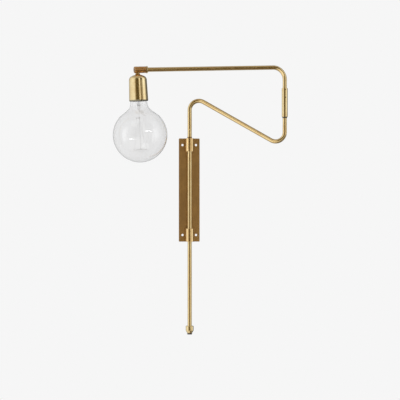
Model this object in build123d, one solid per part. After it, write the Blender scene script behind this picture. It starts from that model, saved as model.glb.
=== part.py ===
from build123d import *
from math import asin, atan2, cos, degrees, pi, radians, sin, sqrt
import os

# Swing arm wall lamp: a wall plate with two bushings, a bent lower arm that swings in them, an elbow, a bent
# upper arm, and a bell-shaped holder with a globe bulb that turns about the end of the upper arm.
# Lengths are in millimetres. The origin is the centre of the wall plate's back face, +Z is up, +X is to the
# right and the viewer is on -Y.

# Clearances
RUNNING_CLEARANCE = 0.05
SEAT_CLEARANCE = 0.03
END_PLAY = 0.3
THREAD_CLEARANCE = 0.45
CEMENT_GAP = 0.3

# Wall plate
PLATE_WIDTH = 49.0
PLATE_HEIGHT = 243.0
PLATE_THICKNESS = 3.0
PLATE_CORNER_RADIUS = 1.5
PLATE_EDGE_RADIUS = 0.5
FIXING_HOLE_DIAMETER = 5.5
FIXING_PITCH_X = 32.0
FIXING_PITCH_Z = 212.0

# Bent tubes
TUBE_DIAMETER = 10.0
TUBE_WALL = 1.0
LOWER_BEND_RADIUS = 22.0
UPPER_BEND_RADIUS = 28.0

# Lower arm: heights where the centrelines of rod, diagonal and column meet, and the foot of the rod
ARM_REACH = 226.0
ROD_CORNER_Z = 225.0
COLUMN_CORNER_Z = 99.5
ROD_FOOT_Z = -328.0

# Bushings on the plate
BUSHING_DIAMETER = 18.5
BUSHING_LENGTH = 31.0
BUSHING_FLAT_DEPTH = 0.5
BUSHING_CHAMFER = 0.4
LINER_DIAMETER = 12.4
BUSH_NECK_DIAMETER = 10.9
BUSH_NECK_LENGTH = 3.2
BUSH_BODY_LENGTH = 9.0

# Countersunk screws that hold the bushings from behind
BACK_SCREW_DIAMETER = 3.0
BACK_SCREW_HEAD_DIAMETER = 5.6
BACK_SCREW_PITCH = 17.0
SCREW_SINK = 0.1
SCREW_TIP_GAP = 0.4
SOCKET_DEPTH = 1.0
SOCKET_ACROSS_FLATS = 1.6

# Snap rings in grooves of the tubes
RING_THICKNESS = 1.0
GROOVE_DEPTH = 0.45
ROD_RING_DIAMETER = 12.0
ARM_RING_DIAMETER = 11.3
RING_GAP = 2.5

# Cord gland at the foot of the rod
GLAND_DIAMETER = 18.5
GLAND_GRIP = 9.0
GLAND_BODY_LENGTH = 11.0
GLAND_CONE_LENGTH = 5.4
GLAND_CONE_END_DIAMETER = 12.4
GLAND_CHAMFER = 0.9
GLAND_TIP_DIAMETER = 11.4
GLAND_TIP_LENGTH = 3.8
GLAND_NECK_DIAMETER = 9.2
CORD_HOLE_DIAMETER = 7.0
GRUB_SCREW_DIAMETER = 3.0

# Elbow
SLEEVE_DIAMETER = 14.2
SLEEVE_BOTTOM_Z = 173.0
SLEEVE_LENGTH = 68.0
SLEEVE_CHAMFER = 0.5
UPPER_TUBE_GRIP = 34.0
ELBOW_LINER_DIAMETER = 11.4
ELBOW_LINER_STANDOUT = 2.6
ELBOW_LINER_TOP_GAP = 3.0
THRUST_DISC_THICKNESS = 1.5
THRUST_DISC_DIAMETER = 11.2
ELBOW_SCREW_DIAMETER = 2.5
ELBOW_SCREW_FROM_TOP = 3.8
ELBOW_SCREW_PITCH = 18.0

# Upper arm: the height where its two centrelines meet over the column, its length to the holder's axis, its
# fall below the horizontal, and the angle by which it stands out from the folded position
ARM_CORNER_Z = 290.4
UPPER_ARM_LENGTH = 360.0
ARM_FALL = 2.4
ELBOW_REST_ANGLE = 11.0

# Swivel barrel around the end of the upper arm, measured along the arm from the holder's axis
BARREL_DIAMETER = 15.0
BARREL_OUTER_REACH = 7.6
BARREL_INNER_REACH = 20.2
BARREL_CHAMFER = 0.4
CHAMBER_DIAMETER = 11.7
CHAMBER_INNER_REACH = 7.4
TUBE_END_REACH = 4.9
CAP_THICKNESS = 1.4
CAP_RECESS = 0.3
WASHER_DIAMETER = 14.4
WASHER_THICKNESS = 0.5
COLLAR_DIAMETER = 16.4
COLLAR_LENGTH = 2.8
COLLAR_CHAMFER = 0.4

# Stem between barrel and cup, measured down from the arm's axis
NIPPLE_DIAMETER = 8.0
NIPPLE_BORE = 5.2
NIPPLE_TOP_DROP = 4.6
NIPPLE_LENGTH = 19.0
STEM_TOP_DIAMETER = 9.4
STEM_FOOT_DIAMETER = 13.0
CUP_TOP_DROP = 11.8

# Bell-shaped holder cup
CUP_HEIGHT = 60.2
CUP_SHOULDER_DIAMETER = 41.0
CUP_MOUTH_DIAMETER = 43.8
CUP_LAND_DIAMETER = 15.6
CUP_CROWN_RADIUS = 30.0
CUP_SHOULDER_RADIUS = 9.5
CUP_RIM_HEIGHT = 2.6
CUP_RIM_INSET = 1.0
CUP_WALL = 1.2
CUP_LIP_INSET = 0.5
CUP_LIP_HEIGHT = 1.4
CUP_NUT_ACROSS_FLATS = 13.0
CUP_NUT_HEIGHT = 4.0

# Ceramic lampholder
HOLDER_DIAMETER = 36.0
HOLDER_TOP_CHAMFER = 4.5
HOLDER_HEIGHT = 45.5
HOLDER_FLOOR = 16.0
HOLDER_RIM_CHAMFER = 1.55
SHELL_WALL = 0.6
SHELL_LENGTH = 25.0
SHELL_LIP = 1.4
TONGUE_WIDTH = 5.0
TONGUE_THICKNESS = 0.5
TONGUE_FOOT_INNER = 3.0
TONGUE_FOOT_OUTER = 9.0
TERMINAL_SCREW_DIAMETER = 3.0
TERMINAL_HEAD_DIAMETER = 5.2
TERMINAL_HEAD_HEIGHT = 1.8
TERMINAL_SCREW_LENGTH = 7.0
TERMINAL_SPREAD = 21.0

# Globe bulb: its screw cap, measured down from the tip, and its glass
CONTACT_DIAMETER = 9.6
CONTACT_HEIGHT = 1.6
CONTACT_DROP = 38.0
INSULATOR_HEIGHT = 3.2
CAP_SHOULDER_DIAMETER = 23.0
CAP_DIAMETER = 26.2
CAP_LENGTH = 23.0
CAP_WALL = 0.5
CAP_SKIRT_FLARE = 0.4
GLASS_WALL = 0.8
GLOBE_DIAMETER = 125.0
GLOBE_CENTRE_DROP = 150.0
NECK_INSERT = 4.0
NECK_DIAMETER = 38.8
NECK_SHOULDER_LENGTH = 10.2
NECK_JOIN_ANGLE = 43.0

# Mount of the filament inside the bulb
FLARE_LENGTH = 29.0
PRESS_WIDTH = 7.0
ROD_DIAMETER = 2.0
ROD_END_DROP = 183.5
BUTTON_DIAMETER = 4.0
UPPER_SUPPORT_DROP = 110.5
LOWER_SUPPORT_REACH = 18.0
UPPER_SUPPORT_REACH = 9.0
SUPPORT_WIRE_DIAMETER = 0.6
LEAD_END_DROP = 105.0
LEAD_REACH = 14.0
LEAD_ANGLES = (300.0, 0.0)
FILAMENT_DIAMETER = 0.4
LOWER_SUPPORT_ANGLES = (20.0, 140.0, 260.0)
UPPER_SUPPORT_ANGLES = (80.0, 200.0)

# Places worked out from the sizes above
TUBE_RADIUS = TUBE_DIAMETER / 2
TUBE_BORE_RADIUS = TUBE_RADIUS - TUBE_WALL
RUNNING_RADIUS = TUBE_RADIUS + RUNNING_CLEARANCE
GROOVE_RADIUS = TUBE_RADIUS - GROOVE_DEPTH
BUSHING_SEAT = BUSHING_DIAMETER / 2 - BUSHING_FLAT_DEPTH
ROD_Y = -(PLATE_THICKNESS + BUSHING_SEAT)
PLATE_TOP_Z = PLATE_HEIGHT / 2
UPPER_BUSHING_Z = PLATE_TOP_Z - BUSHING_LENGTH / 2
LOWER_BUSHING_Z = -UPPER_BUSHING_Z
ROD_RING_Z = PLATE_TOP_Z - BUSH_BODY_LENGTH - END_PLAY - RING_THICKNESS
SLEEVE_TOP_Z = SLEEVE_BOTTOM_Z + SLEEVE_LENGTH
UPPER_TUBE_FOOT_Z = SLEEVE_TOP_Z - UPPER_TUBE_GRIP
COLUMN_TOP_Z = UPPER_TUBE_FOOT_Z - THRUST_DISC_THICKNESS
GLAND_TOP_Z = ROD_FOOT_Z + GLAND_GRIP
CHAMBER_RADIUS = CHAMBER_DIAMETER / 2
ARM_RING_REACH = CHAMBER_INNER_REACH - END_PLAY - RING_THICKNESS
CROWN_CENTRE_Z = -CUP_TOP_DROP - sqrt(CUP_CROWN_RADIUS**2 - (CUP_LAND_DIAMETER / 2) ** 2)
SHOULDER_CENTRE_X = CUP_SHOULDER_DIAMETER / 2 - CUP_SHOULDER_RADIUS
SHOULDER_RISE = sqrt((CUP_CROWN_RADIUS - CUP_SHOULDER_RADIUS) ** 2 - SHOULDER_CENTRE_X**2)
HOLDER_TOP_DROP = CUP_TOP_DROP + CUP_WALL + CUP_NUT_HEIGHT
SHELL_DIAMETER = CAP_DIAMETER + 2 * (THREAD_CLEARANCE + SHELL_WALL)
HOLDER_RIM_DIAMETER = SHELL_DIAMETER + 2 * HOLDER_RIM_CHAMFER
NECK_INSERT_DIAMETER = CAP_DIAMETER - 2 * (CAP_WALL + CEMENT_GAP)
CAP_FOOT_DROP = CONTACT_DROP + CONTACT_HEIGHT + INSULATOR_HEIGHT + CAP_LENGTH

# Frames of the upper arm and of the holder: the holder's +X runs along the arm towards the column
UPPER_FRAME = Pos(ARM_REACH, ROD_Y, 0) * Rot(0, 0, ELBOW_REST_ANGLE)
HOLDER_FRAME = (
    UPPER_FRAME
    * Pos(0, 0, ARM_CORNER_Z)
    * Rot(0, -ARM_FALL, 0)
    * Pos(-UPPER_ARM_LENGTH, 0, 0)
)


# Shared shapes

def turned(*points):
    """Solid turned about +Z from (radius, height) points."""
    outline = Plane.XZ * make_face(Polyline(*points, close=True))
    return revolve(outline, Axis.Z)


def ring(outer_radius, inner_radius, bottom, top):
    """Plain ring about +Z between two heights."""
    return turned((inner_radius, bottom), (outer_radius, bottom), (outer_radius, top), (inner_radius, top))


def chamfered_ring(outer_radius, inner_radius, bottom, top, chamfer):
    """Ring about +Z with both outer edges chamfered."""
    return turned(
        (inner_radius, bottom),
        (outer_radius - chamfer, bottom),
        (outer_radius, bottom + chamfer),
        (outer_radius, top - chamfer),
        (outer_radius - chamfer, top),
        (inner_radius, top),
    )


def rod_between(start, end, radius):
    """Round rod between two points."""
    line = Line(start, end)
    return extrude(Plane(origin=start, z_dir=line % 0) * Circle(radius), line.length)


def bent_tube(points, bend_radius):
    """Round tube along straight runs joined by tangent bends of one radius."""
    path = FilletPolyline(*points, radius=bend_radius)
    start = Plane(origin=path @ 0, z_dir=path % 0)
    outer = sweep(start * Circle(TUBE_RADIUS), path=path)
    inner = sweep(start * Circle(TUBE_BORE_RADIUS), path=path)
    return outer - inner


def snap_ring(outer_diameter, bottom):
    """Open ring about +Z that sits in a tube's groove."""
    inner_radius = GROOVE_RADIUS + SEAT_CLEARANCE
    gap = Pos(outer_diameter / 2, 0, bottom) * Box(outer_diameter, RING_GAP, 3 * RING_THICKNESS)
    return ring(outer_diameter / 2, inner_radius, bottom, bottom + RING_THICKNESS) - gap


def groove(bottom):
    """Ring of metal to cut from a tube along +Z for a snap ring, with play on both of the ring's faces."""
    play = SEAT_CLEARANCE
    return ring(TUBE_DIAMETER, GROOVE_RADIUS, bottom - play, bottom + RING_THICKNESS + play)


def along_arm(shape):
    """Turns a shape made about +Z so that its +Z runs along the holder frame's +X."""
    return Rot(0, 90, 0) * shape


def grub_screw(diameter, length):
    """Headless screw along +Z with its hexagonal socket in the top end, the bottom at height zero."""
    socket = Pos(0, 0, length - SOCKET_DEPTH) * extrude(hexagon(diameter * 0.5), SOCKET_DEPTH)
    return Cylinder(diameter / 2 - SEAT_CLEARANCE, length, align=(Align.CENTER, Align.CENTER, Align.MIN)) - socket


def hexagon(across_flats):
    """Regular hexagon given across its flats."""
    return RegularPolygon(across_flats / 2, 6, major_radius=False)


# Bracket: everything that stays on the wall

def back_screw_heights():
    """Heights of the two screws of each bushing."""
    offsets = (-BACK_SCREW_PITCH / 2, BACK_SCREW_PITCH / 2)
    return [centre + offset for centre in (UPPER_BUSHING_Z, LOWER_BUSHING_Z) for offset in offsets]


def back_screw_shape(clearance):
    """Countersunk screw from the plate's back towards -Y, grown by a clearance for the holes."""
    shank = BACK_SCREW_DIAMETER / 2 + clearance
    head = BACK_SCREW_HEAD_DIAMETER / 2 + clearance
    tip = PLATE_THICKNESS + (BUSHING_SEAT - LINER_DIAMETER / 2) - SCREW_TIP_GAP + clearance
    cone_end = SCREW_SINK + head - shank
    body = turned((0, SCREW_SINK), (head, SCREW_SINK), (shank, cone_end), (shank, tip), (0, tip))
    return Rot(90, 0, 0) * body


def make_wall_plate():
    plate = extrude(Plane.XZ * RectangleRounded(PLATE_WIDTH, PLATE_HEIGHT, PLATE_CORNER_RADIUS), PLATE_THICKNESS)
    plate = fillet(plate.faces().sort_by(Axis.Y)[0].edges(), PLATE_EDGE_RADIUS)
    hole = Rot(90, 0, 0) * Cylinder(FIXING_HOLE_DIAMETER / 2, 4 * PLATE_THICKNESS)
    for x in (-FIXING_PITCH_X / 2, FIXING_PITCH_X / 2):
        for z in (-FIXING_PITCH_Z / 2, FIXING_PITCH_Z / 2):
            plate -= Pos(x, 0, z) * hole
    for z in back_screw_heights():
        sunk = Pos(0, -SCREW_SINK, z) * (Rot(90, 0, 0) * Cylinder(
            BACK_SCREW_HEAD_DIAMETER / 2 + SEAT_CLEARANCE, 2 * SCREW_SINK))
        plate -= Pos(0, 0, z) * back_screw_shape(SEAT_CLEARANCE) + sunk
    return plate


def make_back_screws():
    slot_depth = SOCKET_DEPTH
    screws = []
    for z in back_screw_heights():
        screw = back_screw_shape(0)
        drive = Pos(0, -SCREW_SINK, 0) * extrude(Plane.XZ * hexagon(SOCKET_ACROSS_FLATS), slot_depth)
        screws.append(Pos(0, 0, z) * (screw - drive))
    return Compound(screws)


def make_bushing(centre_z):
    half = BUSHING_LENGTH / 2
    bore = LINER_DIAMETER / 2 + SEAT_CLEARANCE
    body = chamfered_ring(BUSHING_DIAMETER / 2, bore, -half, half, BUSHING_CHAMFER)
    behind = Pos(0, BUSHING_SEAT + BUSHING_DIAMETER / 2, 0) * Box(
        2 * BUSHING_DIAMETER, BUSHING_DIAMETER, 2 * BUSHING_LENGTH)
    body = Pos(0, ROD_Y, centre_z) * (body - behind)
    for z in back_screw_heights():
        body -= Pos(0, 0, z) * back_screw_shape(SEAT_CLEARANCE)
    return body


def make_upper_liner():
    bottom = PLATE_TOP_Z - BUSHING_LENGTH
    return Pos(0, ROD_Y, 0) * ring(LINER_DIAMETER / 2, RUNNING_RADIUS, bottom, ROD_RING_Z)


def make_upper_bush():
    bottom = PLATE_TOP_Z - BUSH_BODY_LENGTH
    return Pos(0, ROD_Y, 0) * turned(
        (RUNNING_RADIUS, bottom),
        (LINER_DIAMETER / 2, bottom),
        (LINER_DIAMETER / 2, PLATE_TOP_Z),
        (BUSH_NECK_DIAMETER / 2, PLATE_TOP_Z),
        (BUSH_NECK_DIAMETER / 2, PLATE_TOP_Z + BUSH_NECK_LENGTH),
        (RUNNING_RADIUS, PLATE_TOP_Z + BUSH_NECK_LENGTH),
    )


def make_lower_liner():
    return Pos(0, ROD_Y, 0) * ring(
        LINER_DIAMETER / 2, RUNNING_RADIUS, -PLATE_TOP_Z, -PLATE_TOP_Z + BUSHING_LENGTH)


# Lower arm: the bent tube with the snap ring that carries it and the gland at its foot

def make_lower_arm_tube():
    points = (
        (0, ROD_Y, ROD_FOOT_Z),
        (0, ROD_Y, ROD_CORNER_Z),
        (ARM_REACH, ROD_Y, COLUMN_CORNER_Z),
        (ARM_REACH, ROD_Y, COLUMN_TOP_Z),
    )
    return bent_tube(points, LOWER_BEND_RADIUS) - Pos(0, ROD_Y, 0) * groove(ROD_RING_Z)


def make_rod_snap_ring():
    return Pos(0, ROD_Y, 0) * snap_ring(ROD_RING_DIAMETER, ROD_RING_Z)


def gland_heights():
    """Heights of the gland's cone start, cone end and tip end."""
    cone_start = GLAND_TOP_Z - GLAND_BODY_LENGTH
    cone_end = cone_start - GLAND_CONE_LENGTH
    return cone_start, cone_end, cone_end - GLAND_TIP_LENGTH


def gland_screw_place():
    """Place of the gland's screw: on the rod's surface, pointing out at the back."""
    return Pos(0, ROD_Y + TUBE_RADIUS + SEAT_CLEARANCE, ROD_FOOT_Z + GLAND_GRIP / 2) * Rot(-90, 0, 0)


def make_gland_body():
    cone_start, cone_end, _ = gland_heights()
    grip = TUBE_RADIUS + SEAT_CLEARANCE
    neck = GLAND_NECK_DIAMETER / 2 + SEAT_CLEARANCE
    outer = GLAND_DIAMETER / 2
    body = Pos(0, ROD_Y, 0) * turned(
        (grip, GLAND_TOP_Z),
        (outer - GLAND_CHAMFER, GLAND_TOP_Z),
        (outer, GLAND_TOP_Z - GLAND_CHAMFER),
        (outer, cone_start),
        (GLAND_CONE_END_DIAMETER / 2, cone_end),
        (neck, cone_end),
        (neck, ROD_FOOT_Z),
        (grip, ROD_FOOT_Z),
    )
    hole = Cylinder(GRUB_SCREW_DIAMETER / 2, GLAND_DIAMETER, align=(Align.CENTER, Align.CENTER, Align.MIN))
    return body - gland_screw_place() * hole


def make_gland_grub_screw():
    return gland_screw_place() * grub_screw(GRUB_SCREW_DIAMETER, (GLAND_DIAMETER - TUBE_DIAMETER) / 2 - END_PLAY)


def make_gland_bush():
    _, cone_end, tip_end = gland_heights()
    bore = CORD_HOLE_DIAMETER / 2
    neck = GLAND_NECK_DIAMETER / 2
    tip = GLAND_TIP_DIAMETER / 2
    return Pos(0, ROD_Y, 0) * turned(
        (bore, ROD_FOOT_Z - END_PLAY),
        (neck, ROD_FOOT_Z - END_PLAY),
        (neck, cone_end),
        (tip, cone_end),
        (tip, tip_end),
        (bore, tip_end),
    )


# Upper arm: the elbow sleeve with its lining, and the bent tube with the rings at its end

def elbow_screw_places():
    """Places of the elbow's screws on the front of the upper tube, pointing at the viewer."""
    first = SLEEVE_TOP_Z - ELBOW_SCREW_FROM_TOP
    start = -(TUBE_RADIUS + SEAT_CLEARANCE)
    return [Pos(0, start, z) * Rot(90, 0, 0) for z in (first, first - ELBOW_SCREW_PITCH)]


def make_elbow_sleeve():
    outer = SLEEVE_DIAMETER / 2
    upper_bore = TUBE_RADIUS + SEAT_CLEARANCE
    lower_bore = ELBOW_LINER_DIAMETER / 2 + SEAT_CLEARANCE
    sleeve = turned(
        (lower_bore, SLEEVE_BOTTOM_Z),
        (outer - SLEEVE_CHAMFER, SLEEVE_BOTTOM_Z),
        (outer, SLEEVE_BOTTOM_Z + SLEEVE_CHAMFER),
        (outer, SLEEVE_TOP_Z - SLEEVE_CHAMFER),
        (outer - SLEEVE_CHAMFER, SLEEVE_TOP_Z),
        (upper_bore, SLEEVE_TOP_Z),
        (upper_bore, UPPER_TUBE_FOOT_Z),
        (lower_bore, UPPER_TUBE_FOOT_Z),
    )
    hole = Cylinder(ELBOW_SCREW_DIAMETER / 2, SLEEVE_DIAMETER, align=(Align.CENTER, Align.CENTER, Align.MIN))
    for place in elbow_screw_places():
        sleeve -= place * hole
    return UPPER_FRAME * sleeve


def make_elbow_grub_screws():
    length = (SLEEVE_DIAMETER - TUBE_DIAMETER) / 2 - END_PLAY
    screws = [place * grub_screw(ELBOW_SCREW_DIAMETER, length) for place in elbow_screw_places()]
    return UPPER_FRAME * Compound(screws)


def make_elbow_liner():
    bottom = SLEEVE_BOTTOM_Z - ELBOW_LINER_STANDOUT
    top = COLUMN_TOP_Z - ELBOW_LINER_TOP_GAP
    return UPPER_FRAME * ring(ELBOW_LINER_DIAMETER / 2, RUNNING_RADIUS, bottom, top)


def make_elbow_thrust_disc():
    return UPPER_FRAME * ring(THRUST_DISC_DIAMETER / 2, TUBE_BORE_RADIUS, COLUMN_TOP_Z, UPPER_TUBE_FOOT_Z)


def make_upper_arm_tube():
    run = UPPER_ARM_LENGTH - TUBE_END_REACH
    fall = radians(ARM_FALL)
    points = (
        (0, 0, UPPER_TUBE_FOOT_Z),
        (0, 0, ARM_CORNER_Z),
        (-run * cos(fall), 0, ARM_CORNER_Z - run * sin(fall)),
    )
    tube = UPPER_FRAME * bent_tube(points, UPPER_BEND_RADIUS)
    return tube - HOLDER_FRAME * along_arm(groove(ARM_RING_REACH))


def make_arm_snap_ring():
    return HOLDER_FRAME * along_arm(snap_ring(ARM_RING_DIAMETER, ARM_RING_REACH))


def make_friction_washer():
    washer = ring(
        WASHER_DIAMETER / 2, RUNNING_RADIUS, BARREL_INNER_REACH, BARREL_INNER_REACH + WASHER_THICKNESS)
    return HOLDER_FRAME * along_arm(washer)


def make_arm_collar():
    start = BARREL_INNER_REACH + WASHER_THICKNESS
    collar = chamfered_ring(
        COLLAR_DIAMETER / 2, TUBE_RADIUS + SEAT_CLEARANCE, start, start + COLLAR_LENGTH, COLLAR_CHAMFER)
    return HOLDER_FRAME * along_arm(collar)


# Holder: the swivel barrel, the stem, the cup and the lampholder

def make_swivel_barrel():
    barrel = turned(
        (CHAMBER_RADIUS, -BARREL_OUTER_REACH),
        (BARREL_DIAMETER / 2 - BARREL_CHAMFER, -BARREL_OUTER_REACH),
        (BARREL_DIAMETER / 2, -BARREL_OUTER_REACH + BARREL_CHAMFER),
        (BARREL_DIAMETER / 2, BARREL_INNER_REACH - BARREL_CHAMFER),
        (BARREL_DIAMETER / 2 - BARREL_CHAMFER, BARREL_INNER_REACH),
        (RUNNING_RADIUS, BARREL_INNER_REACH),
        (RUNNING_RADIUS, CHAMBER_INNER_REACH),
        (CHAMBER_RADIUS, CHAMBER_INNER_REACH),
    )
    stem_hole = Pos(0, 0, -BARREL_DIAMETER) * Cylinder(
        NIPPLE_DIAMETER / 2 + SEAT_CLEARANCE, BARREL_DIAMETER, align=(Align.CENTER, Align.CENTER, Align.MIN))
    return HOLDER_FRAME * (along_arm(barrel) - stem_hole)


def make_barrel_cap():
    start = -BARREL_OUTER_REACH + CAP_RECESS
    disc = turned(
        (0, start),
        (CHAMBER_RADIUS - SEAT_CLEARANCE - BARREL_CHAMFER, start),
        (CHAMBER_RADIUS - SEAT_CLEARANCE, start + BARREL_CHAMFER),
        (CHAMBER_RADIUS - SEAT_CLEARANCE, start + CAP_THICKNESS),
        (0, start + CAP_THICKNESS),
    )
    return HOLDER_FRAME * along_arm(disc)


def make_stem_nipple():
    top = -NIPPLE_TOP_DROP
    return HOLDER_FRAME * ring(NIPPLE_DIAMETER / 2, NIPPLE_BORE / 2, top - NIPPLE_LENGTH, top)


def make_stem_collar():
    bore = NIPPLE_DIAMETER / 2 + SEAT_CLEARANCE
    top = -BARREL_DIAMETER / 4
    straight = -BARREL_DIAMETER / 2
    waist = STEM_TOP_DIAMETER / 2
    foot = STEM_FOOT_DIAMETER / 2
    outline = Polyline((waist, straight), (waist, top), (bore, top), (bore, -CUP_TOP_DROP), (foot, -CUP_TOP_DROP))
    flare = ThreePointArc(
        (foot, -CUP_TOP_DROP),
        (waist + (foot - waist) * 0.28, (straight - CUP_TOP_DROP) / 2),
        (waist, straight),
    )
    collar = revolve(Plane.XZ * make_face(outline + flare), Axis.Z)
    barrel = Rot(0, 90, 0) * Cylinder(BARREL_DIAMETER / 2 + SEAT_CLEARANCE, 2 * STEM_FOOT_DIAMETER)
    return HOLDER_FRAME * (collar - barrel)


def bell_line(inset, foot):
    """Half outline of the bell drawn in by an inset, from the axis over crown and shoulder to the side's foot."""
    top = -CUP_TOP_DROP - inset
    crown = CUP_CROWN_RADIUS - inset
    land = sqrt(crown**2 - (top - CROWN_CENTRE_Z) ** 2)
    land_angle = degrees(atan2(top - CROWN_CENTRE_Z, land))
    join_angle = degrees(atan2(SHOULDER_RISE, SHOULDER_CENTRE_X))
    shoulder = CUP_SHOULDER_RADIUS - inset
    shoulder_z = CROWN_CENTRE_Z + SHOULDER_RISE
    flat = Line((0, top), (land, top))
    crown_arc = CenterArc((0, CROWN_CENTRE_Z), crown, join_angle, land_angle - join_angle)
    shoulder_arc = CenterArc((SHOULDER_CENTRE_X, shoulder_z), shoulder, 0, join_angle)
    side = Line((SHOULDER_CENTRE_X + shoulder, shoulder_z), foot)
    return flat + crown_arc + shoulder_arc + side


def make_holder_cup():
    top = -CUP_TOP_DROP
    rim = top - CUP_HEIGHT
    mouth = CUP_MOUTH_DIAMETER / 2
    roll = (CUP_RIM_HEIGHT**2 + CUP_RIM_INSET**2) / (2 * CUP_RIM_INSET)
    roll_angle = degrees(asin(CUP_RIM_HEIGHT / roll))
    roll_top = rim + CUP_RIM_HEIGHT
    roll_arc = CenterArc((mouth - roll, roll_top), roll, -roll_angle, roll_angle)
    closing = Polyline((mouth - CUP_RIM_INSET, rim), (0, rim), (0, top))
    outer = make_face(bell_line(0, (mouth, roll_top)) + roll_arc + closing)
    side = mouth - CUP_WALL
    lip = side - CUP_LIP_INSET
    lip_top = rim + CUP_LIP_HEIGHT
    hollow = Polyline((side, lip_top), (lip, lip_top), (lip, rim), (0, rim), (0, top - CUP_WALL))
    inner = make_face(bell_line(CUP_WALL, (side, lip_top)) + hollow)
    cup = revolve(Plane.XZ * outer, Axis.Z) - revolve(Plane.XZ * inner, Axis.Z)
    hole = Pos(0, 0, -CUP_TOP_DROP) * Cylinder(NIPPLE_DIAMETER / 2 + SEAT_CLEARANCE, 4 * CUP_WALL)
    return HOLDER_FRAME * (cup - hole)


def make_cup_nut():
    top = -CUP_TOP_DROP - CUP_WALL
    nut = Pos(0, 0, top - CUP_NUT_HEIGHT) * extrude(hexagon(CUP_NUT_ACROSS_FLATS), CUP_NUT_HEIGHT)
    bore = Pos(0, 0, top) * Cylinder(NIPPLE_DIAMETER / 2 + SEAT_CLEARANCE, 4 * CUP_NUT_HEIGHT)
    return HOLDER_FRAME * (nut - bore)


def terminal_places():
    """Places of the two terminal screws on the lampholder's top, pointing up."""
    return [Pos(0, side * TERMINAL_SPREAD / 2, -HOLDER_TOP_DROP) for side in (-1, 1)]


def make_lampholder_body():
    top = -HOLDER_TOP_DROP
    bottom = top - HOLDER_HEIGHT
    outer = HOLDER_DIAMETER / 2
    cavity = SHELL_DIAMETER / 2 + SEAT_CLEARANCE
    floor = top - HOLDER_FLOOR
    nipple = NIPPLE_DIAMETER / 2 + SEAT_CLEARANCE
    nipple_foot = -NIPPLE_TOP_DROP - NIPPLE_LENGTH - END_PLAY
    body = turned(
        (nipple, top),
        (outer - HOLDER_TOP_CHAMFER, top),
        (outer, top - HOLDER_TOP_CHAMFER),
        (outer, bottom),
        (HOLDER_RIM_DIAMETER / 2, bottom),
        (cavity, bottom + HOLDER_RIM_CHAMFER),
        (cavity, floor),
        (NIPPLE_BORE / 2, floor),
        (NIPPLE_BORE / 2, nipple_foot),
        (nipple, nipple_foot),
    )
    hole = Cylinder(TERMINAL_SCREW_DIAMETER / 2 + SEAT_CLEARANCE, 2 * TERMINAL_SCREW_LENGTH)
    for place in terminal_places():
        body -= place * hole
    return HOLDER_FRAME * body


def make_screw_shell():
    top = -HOLDER_TOP_DROP - HOLDER_FLOOR
    outer = SHELL_DIAMETER / 2
    shell = turned(
        (outer, top),
        (outer, top - SHELL_LENGTH),
        (outer - SHELL_WALL, top - SHELL_LENGTH),
        (outer - SHELL_WALL, top - SHELL_WALL),
        (outer - SHELL_LIP, top - SHELL_WALL),
        (outer - SHELL_LIP, top),
    )
    return HOLDER_FRAME * shell


def make_centre_contact():
    floor = -HOLDER_TOP_DROP - HOLDER_FLOOR
    tip = -CONTACT_DROP
    thickness = TONGUE_THICKNESS
    outline = Polyline(
        (TONGUE_FOOT_OUTER, floor),
        (TONGUE_FOOT_INNER, floor),
        (-TONGUE_FOOT_INNER, tip + thickness),
        (-TONGUE_FOOT_OUTER / 2, tip + thickness),
        (-TONGUE_FOOT_OUTER / 2, tip),
        (-TONGUE_FOOT_INNER + thickness, tip),
        (TONGUE_FOOT_INNER + thickness, floor - thickness),
        (TONGUE_FOOT_OUTER, floor - thickness),
        close=True,
    )
    tongue = extrude(Plane.XZ * make_face(outline), TONGUE_WIDTH / 2, both=True)
    return HOLDER_FRAME * tongue


def make_terminal_screws():
    head = TERMINAL_HEAD_DIAMETER / 2
    shank = TERMINAL_SCREW_DIAMETER / 2
    slot_depth = TERMINAL_HEAD_HEIGHT / 2
    slot = Pos(0, 0, TERMINAL_HEAD_HEIGHT) * Box(TERMINAL_HEAD_DIAMETER * 2, shank / 2, 2 * slot_depth)
    screws = []
    for place in terminal_places():
        screw = turned(
            (0, -TERMINAL_SCREW_LENGTH + END_PLAY),
            (shank, -TERMINAL_SCREW_LENGTH + END_PLAY),
            (shank, 0),
            (head, 0),
            (head, TERMINAL_HEAD_HEIGHT),
            (0, TERMINAL_HEAD_HEIGHT),
        )
        screws.append(place * (screw - slot))
    return HOLDER_FRAME * Compound(screws)


# Globe bulb

def make_bulb_contact():
    top = -CONTACT_DROP
    radius = CONTACT_DIAMETER / 2
    return HOLDER_FRAME * turned(
        (0, top),
        (radius * 0.7, top),
        (radius, top - CONTACT_HEIGHT * 0.6),
        (radius, top - CONTACT_HEIGHT),
        (0, top - CONTACT_HEIGHT),
    )


def make_bulb_insulator():
    top = -CONTACT_DROP - CONTACT_HEIGHT
    foot = top - INSULATOR_HEIGHT
    return HOLDER_FRAME * turned(
        (0, top), (CONTACT_DIAMETER / 2, top), (CAP_SHOULDER_DIAMETER / 2, foot), (0, foot))


def make_bulb_cap():
    foot = -CAP_FOOT_DROP
    top = foot + CAP_LENGTH
    shoulder = CAP_SHOULDER_DIAMETER / 2
    outer = CAP_DIAMETER / 2
    rise = outer - shoulder
    skirt = foot + NECK_INSERT
    return HOLDER_FRAME * turned(
        (0, top),
        (shoulder, top),
        (outer, top - rise),
        (outer, skirt),
        (outer + CAP_SKIRT_FLARE, skirt - CAP_SKIRT_FLARE),
        (outer + CAP_SKIRT_FLARE, foot),
        (outer + CAP_SKIRT_FLARE - CAP_WALL, foot),
        (outer - CAP_WALL, skirt),
        (outer - CAP_WALL, top - rise - CAP_WALL),
        (shoulder, top - CAP_WALL * 2),
        (0, top - CAP_WALL * 2),
    )


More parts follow.
